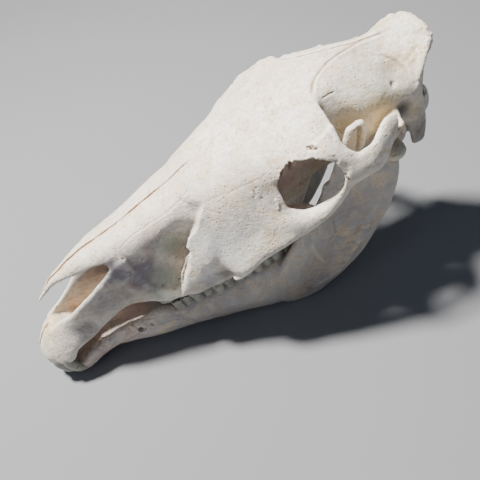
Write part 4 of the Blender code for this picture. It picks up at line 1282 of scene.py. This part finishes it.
def closed_in(points, normals, mesh):
    """How much of each vertex's view is blocked close by: 0 in the open, 1 in a deep hollow."""
    faces = [tuple(face.vertices) for face in mesh.polygons]
    tree = BVHTree.FromPolygons([tuple(point) for point in points], faces)
    upright = np.abs(normals[:, 2:3]) > UPRIGHT
    helper = np.where(upright, (1.0, 0.0, 0.0), (0.0, 0.0, 1.0))
    across = np.cross(normals, helper)
    across /= np.linalg.norm(across, axis=1).clip(TINY)[:, None]
    other = np.cross(normals, across)
    blocked = np.zeros(len(points))
    starts = points + normals * SIGHT_START
    for k in range(SIGHT_RAYS):
        turn = 2 * math.pi * k * SIGHT_TURN
        lean = math.sqrt((k + 0.5) / SIGHT_RAYS)
        rise = math.sqrt(1 - lean * lean)
        aim = normals * rise + across * lean * math.cos(turn) + other * lean * math.sin(turn)
        for i, (start, ray) in enumerate(zip(starts.tolist(), aim.tolist())):
            if tree.ray_cast(start, ray, SIGHT_REACH)[0] is not None:
                blocked[i] += 1
    return blocked / SIGHT_RAYS


def strongest(points, table):
    """The largest share that any row gives each point: centre, reach and strength."""
    share = np.zeros(len(points))
    for centre, reach, strength in table:
        share = np.maximum(share, reach_of(points, centre, reach) * strength)
    return share


def mark(thing, zones, specks, pits, tables):
    """Store on the vertices what the bone's material reads: zones (some of them painted shade),
    hollows, edges, enclosure for painted shade, and lines.
    """
    mesh = thing.data
    points, normals, edges = read_mesh(mesh)
    folded = both(points)
    ragged = points
    for size, move, seeds in RAGGED_EDGES:
        ragged = ragged + jitter(points, size, seeds) * move
    ragged = both(ragged)
    values = {zone: strongest(ragged, zones.get(zone, [])) for zone in ZONE_TINTS}
    specks = [(centre, reach * SPECK_SPREAD, 1.0) for centre, reach in specks]
    values["rust"] = strongest(folded, specks)
    curve = ((even_out(points, edges, CURVE_ROUNDS) - points) * normals).sum(axis=1)
    stained = [(centre, reach * PIT_RIM, PIT_STAIN) for centre, reach, _ in pits]
    values["hollow"] = np.maximum(np.clip(curve * HOLLOW_GAIN, 0, 1), strongest(folded, stained))
    values["edge"] = np.clip(-curve * EDGE_GAIN, 0, 1)
    # How enclosed each vertex is, for the painted shade in hollows.
    values["closed"] = even_out(closed_in(points, normals, mesh), edges, SIGHT_ROUNDS)[:, 0]
    values["gap"] = np.full(len(points), GAP_FAR)
    values["ink"] = np.zeros(len(points))
    for table, sides in tables:
        for near, gap, ends, rest in each_line(points, normals, table, sides):
            closer = np.abs(gap) < np.abs(values["gap"][near])
            ink = ends * rest[-1] * fade(np.abs(gap), GAP_FAR)
            values["gap"][near[closer]] = gap[closer]
            values["ink"][near[closer]] = ink[closer]
    for name, numbers in values.items():
        layer = mesh.attributes.new(name, "FLOAT", "POINT")
        layer.data.foreach_set("value", np.ascontiguousarray(numbers, dtype=np.float32))


class Nodes:
    """Short calls that add shader nodes to one tree and join them."""

    def __init__(self, tree):
        self.tree = tree

    def put(self, socket, value):
        """Link another node's output to the socket, or set a plain value there."""
        if isinstance(value, bpy.types.NodeSocket):
            self.tree.links.new(value, socket)
        elif socket.type == "RGBA":
            socket.default_value = (*value, 1.0)
        else:
            socket.default_value = value

    def add(self, kind, inputs=None, **settings):
        node = self.tree.nodes.new(kind)
        for name, value in settings.items():
            setattr(node, name, value)
        for name, value in (inputs or {}).items():
            self.put(node.inputs[name], value)
        return node

    def coords(self):
        return self.add("ShaderNodeTexCoord").outputs["Object"]

    def stretched(self, coords, scale):
        return self.add("ShaderNodeMapping", {"Vector": coords, "Scale": scale}).outputs[0]

    def cloud(self, coords, scale, detail, roughness, warp=0.0):
        inputs = {"Vector": coords, "Scale": scale, "Detail": detail, "Roughness": roughness,
                  "Distortion": warp}
        return self.add("ShaderNodeTexNoise", inputs).outputs["Fac"]

    def cells(self, coords, scale, feature="F1"):
        inputs = {"Vector": coords, "Scale": scale}
        return self.add("ShaderNodeTexVoronoi", inputs, feature=feature).outputs["Distance"]

    def reading(self, name):
        return self.add("ShaderNodeAttribute", attribute_name=name).outputs["Fac"]

    def maths(self, operation, *values):
        node = self.add("ShaderNodeMath", operation=operation)
        for socket, value in zip(node.inputs, values):
            self.put(socket, value)
        return node.outputs["Value"]

    def product(self, first, *rest):
        for value in rest:
            first = self.maths("MULTIPLY", first, value)
        return first

    def ramp(self, value, low, high, at_low=0.0, at_high=1.0):
        """Map a value from low..high to at_low..at_high, held at the ends."""
        inputs = {"Value": value, "From Min": low, "From Max": high, "To Min": at_low,
                  "To Max": at_high}
        return self.add("ShaderNodeMapRange", inputs, clamp=True).outputs["Result"]

    def mixed(self, share, first, second):
        """The first colour, with a share of the second over it."""
        node = self.add("ShaderNodeMix", {"Factor": share}, data_type="RGBA")
        sockets = [socket for socket in node.inputs if socket.type == "RGBA"]
        for socket, value in zip(sockets, (first, second)):
            self.put(socket, value)
        return next(socket for socket in node.outputs if socket.type == "RGBA")

    def relief(self, parts, distance, strength):
        """Fine relief from the sum of each value times its weight."""
        height, *rest = [self.product(value, weight) for value, weight in parts]
        for part in rest:
            height = self.maths("ADD", height, part)
        inputs = {"Height": height, "Distance": distance, "Strength": strength}
        return self.add("ShaderNodeBump", inputs).outputs["Normal"]

    def finish(self, share, first, second, output):
        """Send the first shader, with a share of the second, to the output node."""
        choice = self.add("ShaderNodeMixShader", {0: share, 1: first, 2: second})
        self.put(self.tree.nodes[output].inputs["Surface"], choice.outputs[0])


def new_material(name):
    """A material, the calls that add its nodes, and its shader's inputs."""
    material = bpy.data.materials.new(name)
    material.use_nodes = True
    tree = material.node_tree
    return material, Nodes(tree), tree.nodes["Principled BSDF"].inputs


def bone_material(name, light, dark, age):
    """Weathered bone. Age, from 0 to 1, is how far it has cracked."""
    material, nodes, shader = new_material(name)
    coords = nodes.coords()
    look = {cloud: nodes.cloud(coords, *shape) for cloud, shape in BONE_CLOUDS.items()}
    look["fibre"] = nodes.cloud(nodes.stretched(coords, FIBRE_STRETCH), *FIBRE_CLOUD)
    patchy, fine = look["patchy"], look["fine"]
    pores = nodes.ramp(nodes.cells(coords, PORE_SCALE), *PORE_EDGE)
    pores = nodes.product(pores, nodes.ramp(patchy, *PORE_PATCHES))
    cracks = nodes.cells(nodes.stretched(coords, CRACK_STRETCH), 1.0, "DISTANCE_TO_EDGE")
    cracks = nodes.maths("ADD", cracks, nodes.product(fine, CRACK_RAGGED))
    cracks = nodes.ramp(cracks, *CRACK_EDGE)
    cracks = nodes.product(cracks, nodes.ramp(look["broad"], *CRACK_PATCHES))
    ink = nodes.reading("ink")
    line_gap = nodes.maths("ABSOLUTE", nodes.reading("gap"))
    line_gap = nodes.maths("SUBTRACT", line_gap, nodes.ramp(patchy, *LINE_RAGGED))
    line = nodes.product(nodes.ramp(line_gap, *LINE_EDGE), ink)
    halo = nodes.product(nodes.ramp(line_gap, *HALO_EDGE), ink, HALO_SHARE)
    # Painted shade: warm tan where the surface is enclosed, in patches and streaks.
    inside = nodes.ramp(nodes.reading("closed"), *INSIDE_EDGE)
    inside = nodes.product(inside, nodes.ramp(patchy, *INSIDE_PATCHES))
    hollow = nodes.product(nodes.reading("hollow"), nodes.ramp(fine, *HOLLOW_GRAIN))

    layers = [(nodes.ramp(look["broad"], *DARK_PATCHES), dark)]
    layers += [(nodes.ramp(look[cloud], *span), tint) for cloud, span, tint in BONE_TONES]
    # Colour zones, several of them painted shade.
    for zone, tint in ZONE_TINTS.items():
        share = nodes.product(nodes.reading(zone), nodes.ramp(patchy, *ZONE_PATCHES))
        layers.append((share, tint))
    layers += [
        (inside, TAN_PAINTED_SHADE),
        (nodes.product(inside, nodes.ramp(look["fibre"], *STREAK_GRAIN)), TAN_PAINTED_SHADE_STREAK),
        (nodes.product(hollow, HOLLOW_SHARE), DIRT),
        (nodes.product(nodes.reading("edge"), EDGE_SHARE), BLEACHED),
        (nodes.product(pores, PORE_SHARE), DIRT),
        (nodes.product(cracks, CRACK_SHARE * age), DIRT),
        (halo, HALO),
        (line, INK),
        (nodes.product(nodes.reading("rust"), nodes.ramp(fine, *RUST_GRAIN)), RUST),
    ]
    colour = light
    for share, tint in layers:
        colour = nodes.mixed(share, colour, tint)
    gloss = nodes.ramp(patchy, *BONE_GLOSS)
    gloss = nodes.maths("ADD", gloss, nodes.product(hollow, HOLLOW_GLOSS))
    parts = [(look[cloud], weight) for cloud, weight in BONE_RELIEF.items()]
    parts += [(pores, PORE_RELIEF), (cracks, CRACK_RELIEF * age), (line, LINE_RELIEF)]
    nodes.put(shader["Base Color"], colour)
    nodes.put(shader["Roughness"], gloss)
    nodes.put(shader["Normal"], nodes.relief(parts, *BONE_BUMP))
    return material


def tooth_material():
    """Enamel in grey-green tones, with darker patches, stained streaks and darker grain."""
    material, nodes, shader = new_material("enamel")
    coords = nodes.coords()
    patchy = nodes.cloud(coords, *TOOTH_PATCHES)
    streaks = nodes.cloud(nodes.stretched(coords, TOOTH_STRETCH), *TOOTH_STREAKS)
    fine = nodes.cloud(coords, *TOOTH_GRAIN)
    # Base colour: dark partly as painted shade.
    colour = ENAMEL_BASE_WITH_SHADE
    for source, (span, tint) in zip((patchy, streaks, fine), TOOTH_TONES):
        colour = nodes.mixed(nodes.ramp(source, *span), colour, tint)
    parts = [(streaks, STREAK_RELIEF), (fine, TOOTH_GRAIN_RELIEF)]
    nodes.put(shader["Base Color"], colour)
    nodes.put(shader["Roughness"], nodes.ramp(patchy, *TOOTH_GLOSS))
    nodes.put(shader["Normal"], nodes.relief(parts, *TOOTH_BUMP))
    return material


def floor_material():
    """A matt floor that runs out into the backdrop's own tone far from the skull."""
    material, nodes, shader = new_material("floor")
    nodes.put(shader["Base Color"], FLOOR_COLOUR)
    nodes.put(shader["Roughness"], FLOOR_ROUGHNESS)
    length = nodes.add("ShaderNodeVectorMath", {0: nodes.coords()}, operation="LENGTH")
    far = nodes.ramp(length.outputs["Value"], FLOOR_FADE_START, FLOOR_FADE_END)
    matt = nodes.tree.nodes["Principled BSDF"].outputs["BSDF"]
    glow = nodes.add("ShaderNodeEmission", {"Color": BACKDROP_COLOUR}).outputs[0]
    nodes.finish(far, matt, glow, "Material Output")
    return material


def place(thing, material, slot, node):
    """Stand a finished piece in the frame in place of its node."""
    thing.data.transform(STAND)
    thing.data.materials.clear()
    thing.data.materials.append(material)
    thing.data.shade_smooth()
    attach(thing, "root")
    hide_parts(node)


def add_camera():
    lens = bpy.data.cameras.new("camera")
    lens.sensor_width = CAMERA_SENSOR
    lens.lens = CAMERA_LENS
    lens.clip_end = CAMERA_REACH
    camera = bpy.data.objects.new("camera", lens)
    bpy.context.scene.collection.objects.link(camera)
    axes = (CAMERA_RIGHT, tuple(-v for v in CAMERA_DOWN), tuple(-v for v in CAMERA_FORWARD))
    turn = Matrix(axes).transposed().to_4x4()
    camera.matrix_world = STAND @ Matrix.Translation(Vector(CAMERA_PLACE) * MM) @ turn
    bpy.context.scene.camera = camera


def add_light(name, start, size, power, colour):
    light = bpy.data.lights.new(name, "AREA")
    light.shape = "DISK"
    light.size = size
    light.energy = power
    light.color = colour
    lamp = bpy.data.objects.new(name, light)
    bpy.context.scene.collection.objects.link(lamp)
    lamp.location = start
    aim = Vector(LIGHT_TARGET) - Vector(start)
    lamp.rotation_euler = aim.to_track_quat("-Z", "Y").to_euler()


def add_floor():
    bpy.ops.mesh.primitive_plane_add(size=FLOOR_SIZE, location=(0.0, 0.0, -FLOOR_GAP))
    floor = bpy.context.object
    floor.name = "floor"
    floor.data.materials.append(floor_material())


def add_world():
    """A dim sky to fill the shadows, and a plain backdrop where it is seen directly."""
    world = bpy.data.worlds.new("sky")
    world.use_nodes = True
    nodes = Nodes(world.node_tree)
    sky = nodes.tree.nodes["Background"]
    nodes.put(sky.inputs["Color"], SKY_COLOUR)
    nodes.put(sky.inputs["Strength"], SKY_STRENGTH)
    wall = nodes.add("ShaderNodeBackground", {"Color": BACKDROP_COLOUR}).outputs[0]
    seen = nodes.add("ShaderNodeLightPath").outputs["Is Camera Ray"]
    nodes.finish(seen, sky.outputs[0], wall, "World Output")
    bpy.context.scene.world = world


def main():
    head = cranium()
    jaw = lower_jaw()
    upper = teeth("upper", UPPER_CHEEK_TEETH, UPPER_OUTLINE, UPPER_INCISOR_RINGS, 1)
    lower = teeth("lower", LOWER_CHEEK_TEETH, LOWER_OUTLINE, LOWER_INCISOR_RINGS, -1)
    head_lines = [(MIDLINES, MIDDLE), (CREASES, BOTH_SIDES)]
    mark(head, CRANIUM_ZONES, CRANIUM_SPECKS, PITS, head_lines)
    mark(jaw, JAW_ZONES, JAW_SPECKS, JAW_PITS, [(JAW_CREASES, BOTH_SIDES)])
    bone = bone_material("bone", BONE_LIGHT, BONE_DARK, BONE_AGE)
    # The jaw bone's colours are partly painted shade.
    jaw_bone = bone_material("jaw_bone", JAW_PALE_WITH_SHADE, JAW_DARK_WITH_SHADE, JAW_AGE)
    enamel = tooth_material()
    place(head, bone, "bone", "cranium")
    place(jaw, jaw_bone, "jaw_bone", "lower_jaw")
    for tooth in upper + lower:
        place(tooth, enamel, "tooth", tooth.name.removeprefix("tooth_"))
    add_camera()
    add_floor()
    add_world()
    for light in LIGHTS:
        add_light(*light)


main()
